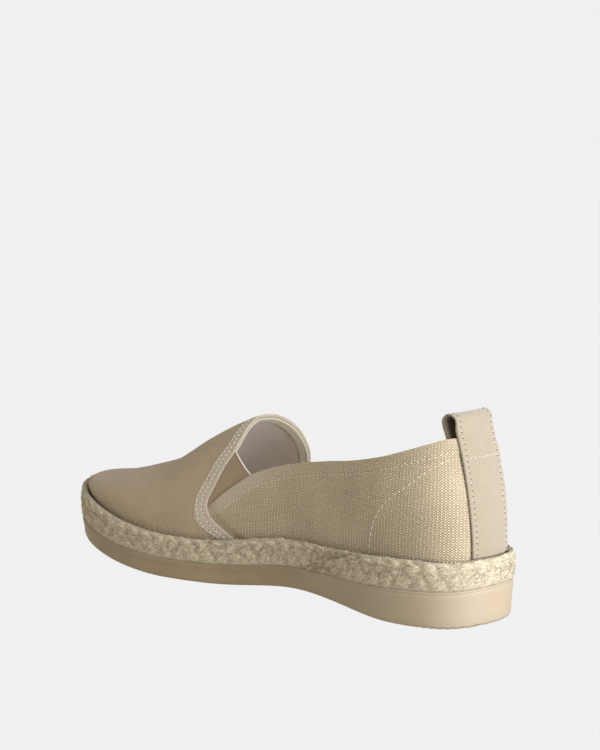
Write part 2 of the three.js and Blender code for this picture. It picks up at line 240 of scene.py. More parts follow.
def belowCollar(points, table=collarTable):
    x, z = leaning(points)
    slope = column(table, 1, x + 0.5) - column(table, 1, x - 0.5)
    height = column(table, 1, x)
    if table is not collarTable:
        sinking = smooth((x - lastForm["goreSinkFrom"]) / lastForm["goreSinkLong"])
        height = height - lastForm["goreSink"] * sinking * (points[..., 1] < 0)
    return (height - z) / np.hypot(1, slope)


# The angle at which a row of the last crosses a line a given distance ahead of the vamp edge, by halving
def vampAngle(v, side, offset, depth):
    low = np.full(np.shape(v), 0.9)
    high = np.full(np.shape(v), 3.0)
    for _ in range(lastForm["halvings"]):
        mid = (low + high) / 2
        short = aheadOfVamp(lastPoint(side * mid, v, depth)) < offset
        low = np.where(short, mid, low)
        high = np.where(short, high, mid)
    return low


# The height share at which a column of the last crosses a line a given distance below an edge, by halving
def collarShare(angle, offset, depth, table=collarTable):
    low = np.zeros(np.shape(angle))
    high = np.ones(np.shape(angle))
    for _ in range(lastForm["halvings"]):
        mid = (low + high) / 2
        under = belowCollar(lastPoint(angle, mid, depth), table) > offset
        low = np.where(under, mid, low)
        high = np.where(under, high, mid)
    return low


# Point of the last with two wanted coordinates, by Newton's method on angle and height share
def onLast(wantA, wantB, pick, angle, v, depth):
    d = 1e-4
    for _ in range(30):
        a0, b0 = pick(lastPoint(angle, v, depth))
        a1, b1 = pick(lastPoint(angle + d, v, depth))
        a2, b2 = pick(lastPoint(angle, v + d, depth))
        j11, j12, j21, j22 = (a1 - a0) / d, (a2 - a0) / d, (b1 - b0) / d, (b2 - b0) / d
        det = j11 * j22 - j12 * j21
        det = np.where(np.abs(det) < 1e-6, 1e-6, det)
        stepAngle = ((wantA - a0) * j22 - (wantB - b0) * j12) / det
        stepV = ((wantB - b0) * j11 - (wantA - a0) * j21) / det
        angle = np.clip(angle + np.clip(stepAngle, -0.15, 0.15), -3.1, 3.1)
        v = np.clip(v + np.clip(stepV, -0.12, 0.12), 0.0, 0.985)
    return angle, v


# Outward normal of the last, from the cross product of its two directions
def lastNormal(angle, v, depth):
    d = 1e-3
    v = np.clip(v, d, 1 - 2 * d)
    acrossWay = lastPoint(angle + d, v, depth) - lastPoint(angle - d, v, depth)
    upWay = lastPoint(angle, v + d, depth) - lastPoint(angle, v - d, depth)
    return unit(np.cross(upWay, acrossWay))


# What is added to shoe millimetres to reach the frame, worked out from the box of the CAD outsole
around = np.linspace(0, 2 * math.pi, 72, endpoint=False)
lowCorner = np.array(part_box("outsole")[0]) * 1000
shift = np.array([lowCorner[0], lowCorner[1] - outlineAt(around, 0.0)[1].min(), 0.0])


# Quads of a grid of rows by columns, which may close on itself either way
def gridFaces(rows, columns, closeRows=False, closeColumns=False):
    i = np.arange(rows if closeRows else rows - 1)
    j = np.arange(columns if closeColumns else columns - 1)
    i, j = np.meshgrid(i, j, indexing="ij")
    nextI = (i + 1) % rows
    nextJ = (j + 1) % columns
    corners = [i * columns + j, i * columns + nextJ, nextI * columns + nextJ, nextI * columns + j]
    return np.stack(corners, axis=-1).reshape(-1, 4)


# Quads of many tubes of the same make, one after another
def tubeFaces(rings, sides, count):
    single = gridFaces(rings, sides, closeColumns=True)
    return (single[None] + (np.arange(count) * rings * sides)[:, None, None]).reshape(-1, 4)


# Circle directions: the cosine of the turn along one vector plus its sine along the other
def circle(one, two, turn):
    return one[..., None, :] * np.cos(turn)[:, None] + two[..., None, :] * np.sin(turn)[:, None]


# Joins an outer and an inner skin into rows of one shell; the two skins meet in their first and last
# columns
def shellOf(outer, inner):
    outer[:, [0, -1]] = inner[:, [0, -1]] = (outer[:, [0, -1]] + inner[:, [0, -1]]) / 2
    return np.concatenate([outer, inner[::-1]])


# Strips that fill a ring: straight from each angle to its mirror angle on the other side of the shoe
def stripsAcross(ring, count):
    half = len(ring) // 2
    medial = ring[: half + 1]
    lateral = np.concatenate([ring[:1], ring[half:][::-1]])
    return medial + (lateral - medial) * np.linspace(0, 1, count)[:, None, None]


# Points and quads of a wall of rings together with the strips that fill its lowest and its highest ring
def filledWall(wall, fillings):
    points = [wall.reshape(-1, 3)]
    faces = [gridFaces(*wall.shape[:2], closeColumns=True)]
    start = len(points[0])
    for filling in fillings:
        points.append(filling.reshape(-1, 3))
        faces.append(gridFaces(*filling.shape[:2]) + start)
        start += len(points[-1])
    return np.concatenate(points), np.concatenate(faces)


# Makes a piece from points in shoe millimetres: corners that coincide are joined and the faces turned
# outwards
def makePiece(name, points, faces, material, uv=None, marks=None, stands=()):
    mesh = bpy.data.meshes.new(name)
    place = (np.asarray(points).reshape(-1, 3) + shift) * 0.001
    mesh.from_pydata(place.tolist(), [], np.asarray(faces).tolist())
    if uv is not None:
        loopVertex = np.empty(len(mesh.loops), np.int32)
        mesh.loops.foreach_get("vertex_index", loopVertex)
        layer = mesh.uv_layers.new(name="cloth")
        layer.data.foreach_set("uv", np.asarray(uv, float).reshape(-1, 2)[loopVertex].ravel())
    for mark, values in (marks or {}).items():
        attribute = mesh.attributes.new(mark, "FLOAT", "POINT")
        attribute.data.foreach_set("value", np.asarray(values, np.float32).ravel())
    work = bmesh.new()
    work.from_mesh(mesh)
    bmesh.ops.remove_doubles(work, verts=work.verts, dist=2e-6)
    bmesh.ops.recalc_face_normals(work, faces=work.faces)
    work.to_mesh(mesh)
    work.free()
    mesh.shade_smooth()
    mesh.materials.append(material)
    piece = bpy.data.objects.new(name, mesh)
    bpy.context.scene.collection.objects.link(piece)
    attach(piece, "root")
    if stands:
        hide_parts(*stands)
    print("made", name, len(mesh.polygons), "faces")


# An sRGB hex colour as linear light
def linear(text):
    parts = [int(text[i:i + 2], 16) / 255 for i in (0, 2, 4)]
    return tuple(c / 12.92 if c <= 0.04045 else ((c + 0.055) / 1.055) ** 2.4 for c in parts) + (1.0,)


# Adds a node and returns one of its output sockets: inputs may be plain values or sockets, the rest are
# its settings
def add(tree, kind, inputs=None, out=0, **settings):
    made = tree.nodes.new("ShaderNode" + kind)
    for name, value in settings.items():
        setattr(made, name, value)
    for socket, value in (inputs or {}).items():
        if isinstance(value, bpy.types.NodeSocket):
            tree.links.new(value, made.inputs[socket])
        else:
            made.inputs[socket].default_value = value
    return made.outputs[out] if len(made.outputs) else None


# Mixes two colours by a share; a hex text stands for a fixed colour
def blendColor(tree, share, first, second):
    first, second = [linear(c) if isinstance(c, str) else c for c in (first, second)]
    return add(tree, "Mix", {0: share, 6: first, 7: second}, out=2, data_type="RGBA")


# Stretches the values between low and high to a new range
def stretched(tree, value, low, high, toLow=0.0, toHigh=1.0):
    inputs = {"Value": value, "From Min": low, "From Max": high, "To Min": toLow, "To Max": toHigh}
    return add(tree, "MapRange", inputs)


def newMaterial(name):
    material = bpy.data.materials.new(name)
    material.use_nodes = True
    material.node_tree.nodes.clear()
    return material, material.node_tree


def finishMaterial(tree, color, height, bumpMm, roughness, sheen=0.0, specular=0.3):
    normal = add(tree, "Bump", {"Height": height, "Distance": bumpMm * 0.001, "Strength": 1.0})
    shader = add(tree, "BsdfPrincipled", {
        "Base Color": color, "Roughness": roughness, "IOR": 1.5, "Specular IOR Level": specular,
        "Sheen Weight": sheen, "Sheen Roughness": 0.5, "Normal": normal,
    })
    add(tree, "OutputMaterial", {"Surface": shader})


canvasLook = {
    "pitch": 1.04,  # mm from thread to thread
    "swayMm": 0.8,  # how far the threads wander
    "vampThreads": (0.0, 90.0),  # degrees of the two thread systems, straight grain
    "quarterThreads": (38.0, -30.0),  # cut on the bias and pulled over the last
    "vampHigh": "9a8667",
    "vampLow": "806d50",
    "quarterHigh": "bcaa86",
    "quarterLow": "726247",
    "hemHigh": "aea287",
    "hemLow": "84765d",
    "bumpMm": 0.28,
    "roughness": 0.92,
}


# Cotton canvas, plain weave: where warp rides over weft there is a raised dot, painted paler as a painted
# highlight, and the gaps between are painted dark as painted shade. The product of two cosines along the
# thread systems gives both kinds of crossing. Slubs and a soft cloudiness make the tone uneven, and the hem
# mark brings in the paler cloth of a turned hem.
def makeCanvas(name, threads, high, low, contrast):
    material, tree = newMaterial(name)
    a, b = [math.radians(t) for t in threads]
    basis = np.array([[math.cos(a), math.cos(b)], [math.sin(a), math.sin(b)]]) * canvasLook["pitch"]
    uv = add(tree, "UVMap", uv_map="cloth")
    sway = add(tree, "TexNoise", {"Vector": uv, "Scale": 0.16, "Detail": 2.0}, out="Color")
    sway = add(tree, "VectorMath", {0: sway, 1: (0.5, 0.5, 0.5)}, operation="SUBTRACT")
    sway = add(tree, "VectorMath", {0: sway, "Scale": canvasLook["swayMm"]}, operation="SCALE")
    moved = add(tree, "VectorMath", {0: uv, 1: sway}, operation="ADD")
    waves = []
    for row in np.linalg.inv(basis):
        perMm = (row[0] * math.pi, row[1] * math.pi, 0)
        phase = add(tree, "VectorMath", {0: moved, 1: perMm}, out="Value", operation="DOT_PRODUCT")
        waves.append(add(tree, "Math", {0: phase}, operation="COSINE"))
    crossing = add(tree, "Math", {0: waves[0], 1: waves[1]}, operation="MULTIPLY")
    over = add(tree, "Math", {0: crossing, 1: 0.0}, operation="MAXIMUM")
    under = add(tree, "Math", {0: crossing, 1: -0.5}, operation="MULTIPLY")
    height = add(tree, "Math", {0: over, 1: under}, operation="MAXIMUM")
    slub = add(tree, "TexNoise", {"Vector": uv, "Scale": 0.9, "Detail": 3.0, "Roughness": 0.7})
    cloud = add(tree, "TexNoise", {"Vector": uv, "Scale": 0.045, "Detail": 2.0})
    plainTone = (1 - contrast) * 0.45
    # painted highlight on each raised crossing and painted shade in the gaps, from the weave's height
    weaveHighlightAndShade = add(tree, "Math", {0: height, 1: contrast, 2: plainTone}, operation="MULTIPLY_ADD")
    slubTone = stretched(tree, slub, 0.3, 0.7, -0.16, 0.16)
    cloudTone = stretched(tree, cloud, 0.3, 0.7, -0.07, 0.07)
    level = add(tree, "Math", {0: weaveHighlightAndShade, 1: slubTone}, operation="ADD")
    level = add(tree, "Math", {0: level, 1: cloudTone}, operation="ADD", use_clamp=True)
    cloth = blendColor(tree, level, low, high)
    hemCloth = blendColor(tree, level, canvasLook["hemLow"], canvasLook["hemHigh"])
    hem = add(tree, "Attribute", out="Fac", attribute_name="hem")
    shown = blendColor(tree, hem, cloth, hemCloth)
    finishMaterial(tree, shown, height, canvasLook["bumpMm"], canvasLook["roughness"], 0.12, 0.15)
    return material


juteLook = {
    "light": "afa084",
    "middle": "938261",
    "dark": "57492f",
    "weathered": "ada27f",
    "fibre": 0.4,  # fibre bundles in mm
    "twist": 0.35,  # radians by which the bundles lean along the strand
    "bumpMm": 0.6,
}


# Jute, spun and plaited: long pale bast fibres lie along each strand with darker gaps between the
# bundles, a few dark spots and weathered patches. The mark darkens with painted shade what lies deep in the
# plait, the core behind it and the joint, and gives each loose fibre its own random tone.
def makeJute(name):
    material, tree = newMaterial(name)
    uv = add(tree, "UVMap", uv_map="cloth")
    tilted = add(tree, "Mapping", {"Vector": uv, "Rotation": (0, 0, juteLook["twist"])})
    drawn = add(tree, "Mapping", {"Vector": tilted, "Scale": (0.22, 1 / juteLook["fibre"], 1.0)})
    streak = add(tree, "TexNoise", {"Vector": drawn, "Scale": 1.0, "Detail": 4.0, "Roughness": 0.65})
    patch = add(tree, "TexNoise", {"Vector": uv, "Scale": 0.12, "Detail": 2.0})
    spot = add(tree, "TexNoise", {"Vector": uv, "Scale": 0.75, "Detail": 2.0, "Roughness": 0.6})
    shadeAndFibreTone = add(tree, "Attribute", out="Fac", attribute_name="shadeAndFibreTone")
    color = blendColor(tree, stretched(tree, streak, 0.34, 0.66), juteLook["middle"], juteLook["light"])
    color = blendColor(tree, stretched(tree, streak, 0.44, 0.33), color, juteLook["dark"])
    # painted shade from the mark: deep parts of the plait, the core and the joint line
    color = blendColor(tree, shadeAndFibreTone, color, juteLook["dark"])
    color = blendColor(tree, stretched(tree, spot, 0.6, 0.7, 0.0, 0.6), color, juteLook["dark"])
    color = blendColor(tree, stretched(tree, patch, 0.35, 0.65, 0.0, 0.35), color, juteLook["weathered"])
    finishMaterial(tree, color, streak, juteLook["bumpMm"], 0.95, sheen=0.1, specular=0.1)
    return material


rubberLook = {
    # painted light and shade: the heel colour is painted paler where the lamp falls, the front ones darker
    # where shade falls
    "heel": "8b7a5f",
    "body": "7e6b4e",
    "shadedMottle": "776447",
    "litHeelTo": (-0.115, -0.02),  # metres along the shoe over which the painted light on the heel gives way to the painted shade in front
    "roughness": 0.6,
}


# Thermoplastic rubber, moulded and matt: an even colour with faint mottling and a fine grain. It is painted
# paler at the heel as painted light and darker in front as painted shade.
def makeRubber(name):
    material, tree = newMaterial(name)
    place = add(tree, "TexCoord", out="Object")
    mottle = add(tree, "TexNoise", {"Vector": place, "Scale": 45.0, "Detail": 3.0})
    grain = add(tree, "TexNoise", {"Vector": place, "Scale": 1400.0, "Detail": 2.0})
    # painted shade: the front takes the darker mottled tones
    front = blendColor(tree, stretched(tree, mottle, 0.35, 0.65), rubberLook["body"], rubberLook["shadedMottle"])
    along = add(tree, "SeparateXYZ", {0: place}, out="X")
    # painted light: the paler heel tone fades into the darker front along the shoe
    color = blendColor(tree, stretched(tree, along, *rubberLook["litHeelTo"]), rubberLook["heel"], front)
    finishMaterial(tree, color, grain, 0.08, rubberLook["roughness"])
    return material


nubuckLook = {"nap": "7f7259", "rubbed": "7b6d56", "shadedInnerFace": "54442f", "roughness": 0.95}


# Nubuck, buffed: a short nap gives a soft mottled face with no shine, and the inner face is painted darker
# as painted shade, for the shade inside the loop and against the heel.
def makeNubuck(name):
    material, tree = newMaterial(name)
    place = add(tree, "TexCoord", out="Object")
    mottle = add(tree, "TexNoise", {"Vector": place, "Scale": 260.0, "Detail": 5.0, "Roughness": 0.7})
    nap = add(tree, "TexNoise", {"Vector": place, "Scale": 2200.0, "Detail": 3.0})
    innerShade = add(tree, "Attribute", out="Fac", attribute_name="innerShade")
    color = blendColor(tree, stretched(tree, mottle, 0.35, 0.68), nubuckLook["nap"], nubuckLook["rubbed"])
    # painted shade: the inner face is darkened by its mark
    color = blendColor(tree, innerShade, color, nubuckLook["shadedInnerFace"])
    finishMaterial(tree, color, nap, 0.12, nubuckLook["roughness"], sheen=0.25, specular=0.15)
    return material


# Cotton drill or elastic webbing, woven: diagonal or straight ribs of a given pitch, a sine over the
# cloth's own map.
def makeRibbed(name, high, low, ribMm, degrees, bumpMm):
    material, tree = newMaterial(name)
    uv = add(tree, "UVMap", uv_map="cloth")
    turn = math.radians(degrees)
    perMm = (math.cos(turn) * 2 * math.pi / ribMm, math.sin(turn) * 2 * math.pi / ribMm, 0)
    phase = add(tree, "VectorMath", {0: uv, 1: perMm}, out="Value", operation="DOT_PRODUCT")
    rib = add(tree, "Math", {0: phase}, operation="SINE")
    slub = add(tree, "TexNoise", {"Vector": uv, "Scale": 0.8, "Detail": 3.0})
    height = add(tree, "Math", {0: rib, 1: 0.5, 2: slub}, operation="MULTIPLY_ADD")
    color = blendColor(tree, stretched(tree, height, 0.0, 1.0), low, high)
    finishMaterial(tree, color, height, bumpMm, 0.9, sheen=0.1, specular=0.15)
    return material


tapeLook = {
    "high": "e3dec2",
    "low": "d2cbab",
    "rim": "a59a7e",
    "seam": "8f866a",
    "seams": (1.1, 4.9),  # mm from the upper selvedge
    "ribMm": 0.9,
}


# Cotton binding tape, woven: fine cross ribs, a duller folded rim and a line of sunk stitches near either
# selvedge.
def makeTape(name):
    material, tree = newMaterial(name)
    uv = add(tree, "UVMap", uv_map="cloth")
    along = add(tree, "SeparateXYZ", {0: uv}, out="X")
    across = add(tree, "SeparateXYZ", {0: uv}, out="Y")
    phase = add(tree, "Math", {0: along, 1: 2 * math.pi / tapeLook["ribMm"]}, operation="MULTIPLY")
    rib = add(tree, "Math", {0: phase}, operation="SINE")
    slub = add(tree, "TexNoise", {"Vector": uv, "Scale": 0.8, "Detail": 3.0})
    height = add(tree, "Math", {0: rib, 1: 0.4, 2: slub}, operation="MULTIPLY_ADD")
    color = blendColor(tree, height, tapeLook["low"], tapeLook["high"])
    for seam in tapeLook["seams"]:
        away = add(tree, "Math", {0: across, 1: seam}, operation="SUBTRACT")
        away = add(tree, "Math", {0: away}, operation="ABSOLUTE")
        color = blendColor(tree, stretched(tree, away, 0.3, 0.12, 0.0, 0.7), color, tapeLook["seam"])
    color = blendColor(tree, stretched(tree, across, 0.8, 0.5), color, tapeLook["rim"])
    finishMaterial(tree, color, height, 0.1, 0.9, sheen=0.1, specular=0.15)
    return material


# Thread, spun: the twisted fibres catch the light unevenly, so the tone varies finely along each stitch.
def makeThread(name, tone, paler):
    material, tree = newMaterial(name)
    place = add(tree, "TexCoord", out="Object")
    twist = add(tree, "TexNoise", {"Vector": place, "Scale": 1500.0, "Detail": 2.0})
    finishMaterial(tree, blendColor(tree, twist, tone, paler), twist, 0.1, 0.7, sheen=0.1)
    return material


vampCanvas = makeCanvas("cotton canvas, straight grain", canvasLook["vampThreads"], canvasLook["vampHigh"],
                        canvasLook["vampLow"], 0.5)
quarterCanvas = makeCanvas("cotton canvas, bias cut", canvasLook["quarterThreads"],
                           canvasLook["quarterHigh"], canvasLook["quarterLow"], 0.95)
juteMaterial = makeJute("jute, plaited")
rubberMaterial = makeRubber("thermoplastic rubber, moulded")
nubuckMaterial = makeNubuck("nubuck, buffed")
elasticMaterial = makeRibbed("elastic webbing, woven", "816c51", "746146", 0.8, 0, 0.05)
liningMaterial = makeRibbed("cotton drill lining", "d9cdbd", "c7bcaa", 0.8, 45, 0.06)
tapeMaterial = makeTape("cotton binding tape")
threadMaterial = makeThread("spun thread, cream", "bbb098", "cbc0a8")
stripThreadMaterial = makeThread("spun thread, sand", "a89a7f", "b5a88e")
edgeMaterial = makeThread("elastic edge, satin woven", "a99b84", "b5a890")
# painted shade: dark tubes stand for the shade inside the needle holes
holeShadeMaterial = makeThread("needle hole shade", "3a2d1f", "4a3a28")
print("made the materials")

outsole = {
    "columns": 1240,
    "across": 14,  # points across the underside and the top
    "grooveWide": 1.3,
    "grooveDeep": 0.9,
    "groovePitch": 3.3,
    "rearGrooves": (4.0, 26.0),
    "foreGrooves": (176.0, 245.0),
    "foreEdge": 0.25,  # in front the grooves hardly reach the edge
}

# Wall of the sole from the tread up: mm outwards, share of the wall's height, mm more
treadWall = (
    (-2.8, 0, 0), (-2.1, 0, 0.12), (-1.5, 0, 0.5), (-1.1, 0, 1.1), (-0.85, 0, 1.8), (-0.7, 0.25, 1.4),
    (-0.4, 0.5, 0.6), (-0.05, 0.8, 0), (0.05, 1, -1.9), (0, 1, -1.65), (-0.14, 1, -1.45), (-0.13, 1, -1.3),
    (0.02, 1, -1.1), (0.1, 1, -0.7), (0, 1, -0.3), (-0.35, 1, -0.05), (-0.9, 1, 0), (-6, 1, -0.1),
)


# Cross grooves: a rounded box of the given depth around each groove's centre line.
def grooveAt(x):
    pitch = outsole["groovePitch"]
    lines = np.concatenate([np.arange(*outsole[part], pitch) for part in ("rearGrooves", "foreGrooves")])
    nearest = np.abs(x[..., None] - lines).min(axis=-1)
    return outsole["grooveDeep"] * smooth((outsole["grooveWide"] / 2 + 0.25 - nearest) / 0.5)


# Rubber sole: the wall's profile at each angle, filled below by the grooved tread and above by a plain
# top.
def makeOutsole():
    angle = ringOf(outsole["columns"])
    rows = []
    for outward, share, more in treadWall:
        x, y, _, _ = outlineAt(angle, outward)
        z = bottomZ(x) + share * column(wallTable, 1, x) + more
        cut = grooveAt(x) * np.where(x < 100, 1, outsole["foreEdge"])
        rows.append(np.stack([x, y, np.maximum(z, bottomZ(x) + cut)], axis=-1))
    tread, top = stripsAcross(rows[0], outsole["across"]), stripsAcross(rows[-1], outsole["across"])
    x = tread[1:-1, :, 0]
    tread[1:-1, :, 2] = bottomZ(x) + grooveAt(x)
    points, faces = filledWall(np.array(rows), (tread, top))
    makePiece("outsole_rubber", points, faces, rubberMaterial, stands=("outsole",))


makeOutsole()

braid = {
    "period": 25.0,  # one full wave of a strand
    "halfWide": 4.2,
    "halfThick": 0.85,
    "centre": -0.5,  # the plait's middle surface from the sole's outline
    "weave": 0.36,  # how far a strand goes in and out
    "rings": 1500,
    "sides": 16,
    "overlapFront": 92.0,  # the joint at the medial waist, along the shoe
    "overlapRear": 62.0,
    "overlapLong": 60.0,  # each end tapers within this length of the plait
    "startHigh": 0.12,  # height shares from which the start grows and to which the end shrinks
    "endLow": 0.9,
    "jointLow": 0.1,  # height share of the joint's painted shadow line in front, and its rise to the rear
    "jointRise": 0.86,
    "jointWide": 0.55,
    "lumpEvery": 9,  # rings from one thick or thin spot to the next
    "lumpHigh": 0.035,
    "plies": 3,
    "plyHigh": 0.07,
    "plyTurn": 1.15,  # radians of twist per mm
    "fineHigh": 0.06,
    "fibres": 8000,
}
random = np.random.default_rng(7)

# Length along the sole's outline as a function of the angle, from the heel round the medial side
ringAngles = np.linspace(-2 * math.pi, 2 * math.pi, 8001)
ringLength = runLength(np.stack(outlineAt(ringAngles, braid["centre"])[:2], axis=-1))
ringLength -= np.interp(0, ringAngles, ringLength)


# The plait runs rearwards from the joint, round the heel, the lateral side and the toe, and ends above
# its start.
plaitStart = np.interp(angleAt(braid["overlapFront"]), ringAngles, ringLength)
plaitEnd = np.interp(angleAt(braid["overlapRear"]) - 2 * math.pi, ringAngles, ringLength)


# How far along the joint a place stands, from 0 at its front to 1 at its rear
def overlapShare(x):
    return np.clip((braid["overlapFront"] - x) / (braid["overlapFront"] - braid["overlapRear"]), 0, 1)


# Lower and upper bound of the plait as shares of the band's height: the start grows out of a point below,
# and the end shrinks to a point above.
def plaitBounds(length):
    angle = np.interp(length, ringLength, ringAngles)
    share = overlapShare(sole["length"] / 2 * (1 - np.cos(angle)))
    atStart = length > plaitStart - braid["overlapLong"]
    atEnd = length < plaitEnd + braid["overlapLong"]
    upper = np.where(atStart, braid["startHigh"] + (1 - braid["startHigh"]) * share, 1.0)
    lower = np.where(atEnd, braid["endLow"] * share, 0.0)
    return angle, lower, upper


# Centre of a strand: it swings across the band as a sine of the length and in and out at twice that rate
def strandCentre(length, strand):
    angle, lower, upper = plaitBounds(length)
    x, y, nx, ny = outlineAt(angle, braid["centre"])
    foot = rubberZ(x) + 0.2
    tall = juteZ(x) + 0.2 - foot
    share = upper - lower
    wide = braid["halfWide"] * (0.25 + 0.75 * share)
    swing = np.maximum(0, share * tall / 2 - wide)
    phase = 2 * math.pi * (length / braid["period"] + strand / 3)
    across = foot + tall * (lower + upper) / 2 + swing * np.sin(phase)
    out = braid["weave"] * np.sin(2 * phase)
    centre = np.stack([x + nx * out, y + ny * out, across], axis=-1)
    outward = np.stack([nx, ny, np.zeros_like(nx)], axis=-1)
    return centre, outward, wide, share


# Painted shadow line where one end of the plait lies over the other: close to the joint's slant the mark is
# 1
def jointShadeMark(points):
    x, y, z = points[..., 0], points[..., 1], points[..., 2]
    foot = rubberZ(x)
    tall = juteZ(x) - foot
    away = np.abs((z - foot) / tall - braid["jointLow"] - braid["jointRise"] * overlapShare(x)) * tall
    near = (y > 0) & (x > braid["overlapRear"] - 6) & (x < braid["overlapFront"] + 3)
    return np.exp(-(away / braid["jointWide"]) ** 2) * near


# Strands: ellipses carried along the centre line, wider across than thick, with three soft plies twisting
# round and a painted shade mark that is high where the strand dives under another and along the joint.
def makeBraid():
    rings, sides = braid["rings"], braid["sides"]
    length = np.linspace(plaitStart, plaitEnd, rings)
    turn = np.linspace(0, 2 * math.pi, sides, endpoint=False)
    knots = np.arange(0, rings + braid["lumpEvery"], braid["lumpEvery"])
    fromEnd = np.minimum(np.arange(rings), np.arange(rings)[::-1])
    taper = np.clip(fromEnd / 6, 0, 1) ** 0.5
    points, uvs, strandShades = [], [], []
    for strand in range(3):
        centre, outward, wide, share = strandCentre(length, strand)
        across = unit(np.cross(unit(np.gradient(centre, axis=0)), outward))
        lump = np.interp(np.arange(rings), knots, random.normal(0, 1, len(knots)))
        plies = np.cos(braid["plies"] * turn[None, :] + length[:, None] * braid["plyTurn"])
        fine = random.normal(0, braid["fineHigh"], (rings, sides))
        reach = 1 + braid["plyHigh"] * plies + braid["lumpHigh"] * lump[:, None] + fine
        reach = reach * taper[:, None]
        thick = braid["halfThick"] * (0.55 + 0.45 * share)
        sideways = wide[:, None] * np.cos(turn) * reach
        depth = thick[:, None] * np.sin(turn) * reach
        ring = centre[:, None] + across[:, None] * sideways[..., None] + outward[:, None] * depth[..., None]
        phase = 2 * math.pi * (length / braid["period"] + strand / 3)
        outOfCentre = ((ring - centre[:, None]) * outward[:, None]).sum(-1)
        level = braid["weave"] * np.sin(2 * phase)[:, None] + outOfCentre
        # painted shade where the strand lies deep, and the painted shadow line of the joint
        strandShades.append(np.maximum(smooth((0.35 - level) / 1.3) * 0.5, jointShadeMark(ring)))
        points.append(ring)
        uvs.append(np.stack(np.broadcast_arrays(length[:, None] + 9 * strand, turn[None, :] * 2.6), axis=-1))
    makePiece("jute_braid", points, tubeFaces(rings, sides, 3), juteMaterial, uv=uvs,
              marks={"shadeAndFibreTone": strandShades}, stands=("jute_band",))


# Section of the core: mm outwards, share of the band's height
coreRim = (
    (-4.2, -0.05), (-0.6, -0.05), (0.05, 0.06), (0.22, 0.25), (0.22, 0.74), (0.1, 0.92),
    (-0.35, 0.995), (-1.2, 1.0), (-2.3, 0.985), (-3.0, 0.94), (-3.4, 0.85), (-4.2, 0.82),
)


# Core: a closed ring behind the plait, so that nothing shows through between the strands; it is painted
# darker all over as painted shade behind the strands, and more along the joint
def makeCore():
    angle = np.linspace(-math.pi, math.pi, 360, endpoint=False)
    rows = []
    for outward, rise in coreRim:
        x, y, _, _ = outlineAt(angle, outward)
        foot = rubberZ(x) + 0.1
        rows.append(np.stack([x, y, foot + (juteZ(x) - foot) * rise], axis=-1))
    rows = np.array(rows)
    uv = np.stack(np.broadcast_arrays(angle[None, :] * 100, np.arange(len(rows))[:, None] * 2.0), axis=-1)
    # painted shade: the core is darkened all over, more along the joint
    makePiece("jute_core", rows, gridFaces(*rows.shape[:2], True, True), juteMaterial, uv=uv,
              marks={"shadeAndFibreTone": np.maximum(0.22, jointShadeMark(rows))})


# Loose fibres: short bent three-sided tubes that start on a strand and lift a little off it
def makeFibres():
    count = braid["fibres"]
    length = random.uniform(plaitEnd + 4, plaitStart - 4, count)
    strand = random.integers(0, 3, count)
    step = random.uniform(1.2, 3.2, count) * random.choice([-1, 1], count)
    side = random.uniform(-0.75, 0.75, count)
    lift = random.uniform(0.02, 0.5, count) ** 1.5
    veer = random.normal(0, 0.5, count)
    knots = []
    for share in (0.0, 0.5, 1.0):
        centre, outward, wide, _ = strandCentre(length + step * share, strand)
        ahead, _, _, _ = strandCentre(length + step * share + 0.2, strand)
        across = np.cross(unit(ahead - centre), outward)
        offset = side + veer * share * 0.5
        arch = np.sqrt(np.maximum(0, 1 - np.minimum(1, offset**2)))
        height = braid["halfThick"] * arch + 0.06 + lift * share**2 * 2.2
        knots.append(centre + across * (offset * wide)[:, None] + outward * height[:, None])
    path = np.stack(knots, axis=1)
    along = unit(path[:, 2] - path[:, 0])
    one = unit(np.cross(along, np.array([0.0, 0.0, 1.0])))
    radius = np.array([0.11, 0.1, 0.02])
    ring = circle(one[:, None], np.cross(along, one)[:, None], np.array([0, 2.1, 4.2]))
    points = path[:, :, None] + ring * radius[:, None, None]
    perFibre = 3 * 3
    tone = np.repeat(random.uniform(0, 1, count) ** 3, perFibre)
    uv = np.stack([np.repeat(random.uniform(0, 300, count), perFibre) for _ in range(2)], axis=-1)
    # for loose fibres the mark holds only a random tone of each fibre
    makePiece("jute_fibres", points, tubeFaces(3, 3, count), juteMaterial, uv=uv,
              marks={"shadeAndFibreTone": tone * 0.6})


makeBraid()
makeCore()
makeFibres()


vamp = {
    "thick": 1.35,
    "rows": 96,
    "toeColumns": 110,
    "hemWide": 6.4,  # mm from the edge to the end of the turned hem
    "hemLift": 0.35,
    "seams": (2.7, 5.3),  # stitch rows, mm from the edge
    "seamDent": 0.22,
}

lining = {
    "outer": 1.4,  # depths of its two faces
    "inner": 1.95,
    "under": 0.9,  # it stops this far short of the canvas's edge
    "roll": 0.2,
    "vampRows": 60,
    "toeColumns": 64,
    "quarterColumns": 170,
}

skirt = 8.0  # mm of cloth that go down behind the jute
farOff = 99.0  # stands for any distance from the edge beyond the last step

# Distances from an edge at which the cloth has its rows, closer at the edge itself and at the stitch rows
edgeSteps = np.array([
    0, 0.04, 0.15, 0.35, 0.65, 1.0, 1.4, 1.8, 2.2, 2.45, 2.7, 2.95, 3.2, 3.7, 4.3, 4.8, 5.05, 5.3, 5.55, 5.9,
    6.3, 6.8, 7.4, 8.2, 9.2,
])


# Quarter of a circle at an edge: 1 at the edge itself and 0 from the given distance on
def rolled(offset, roll):
    edge = np.clip(1 - offset / roll, 0, 1)
    return 1 - np.sqrt(np.maximum(0, 1 - edge**2))


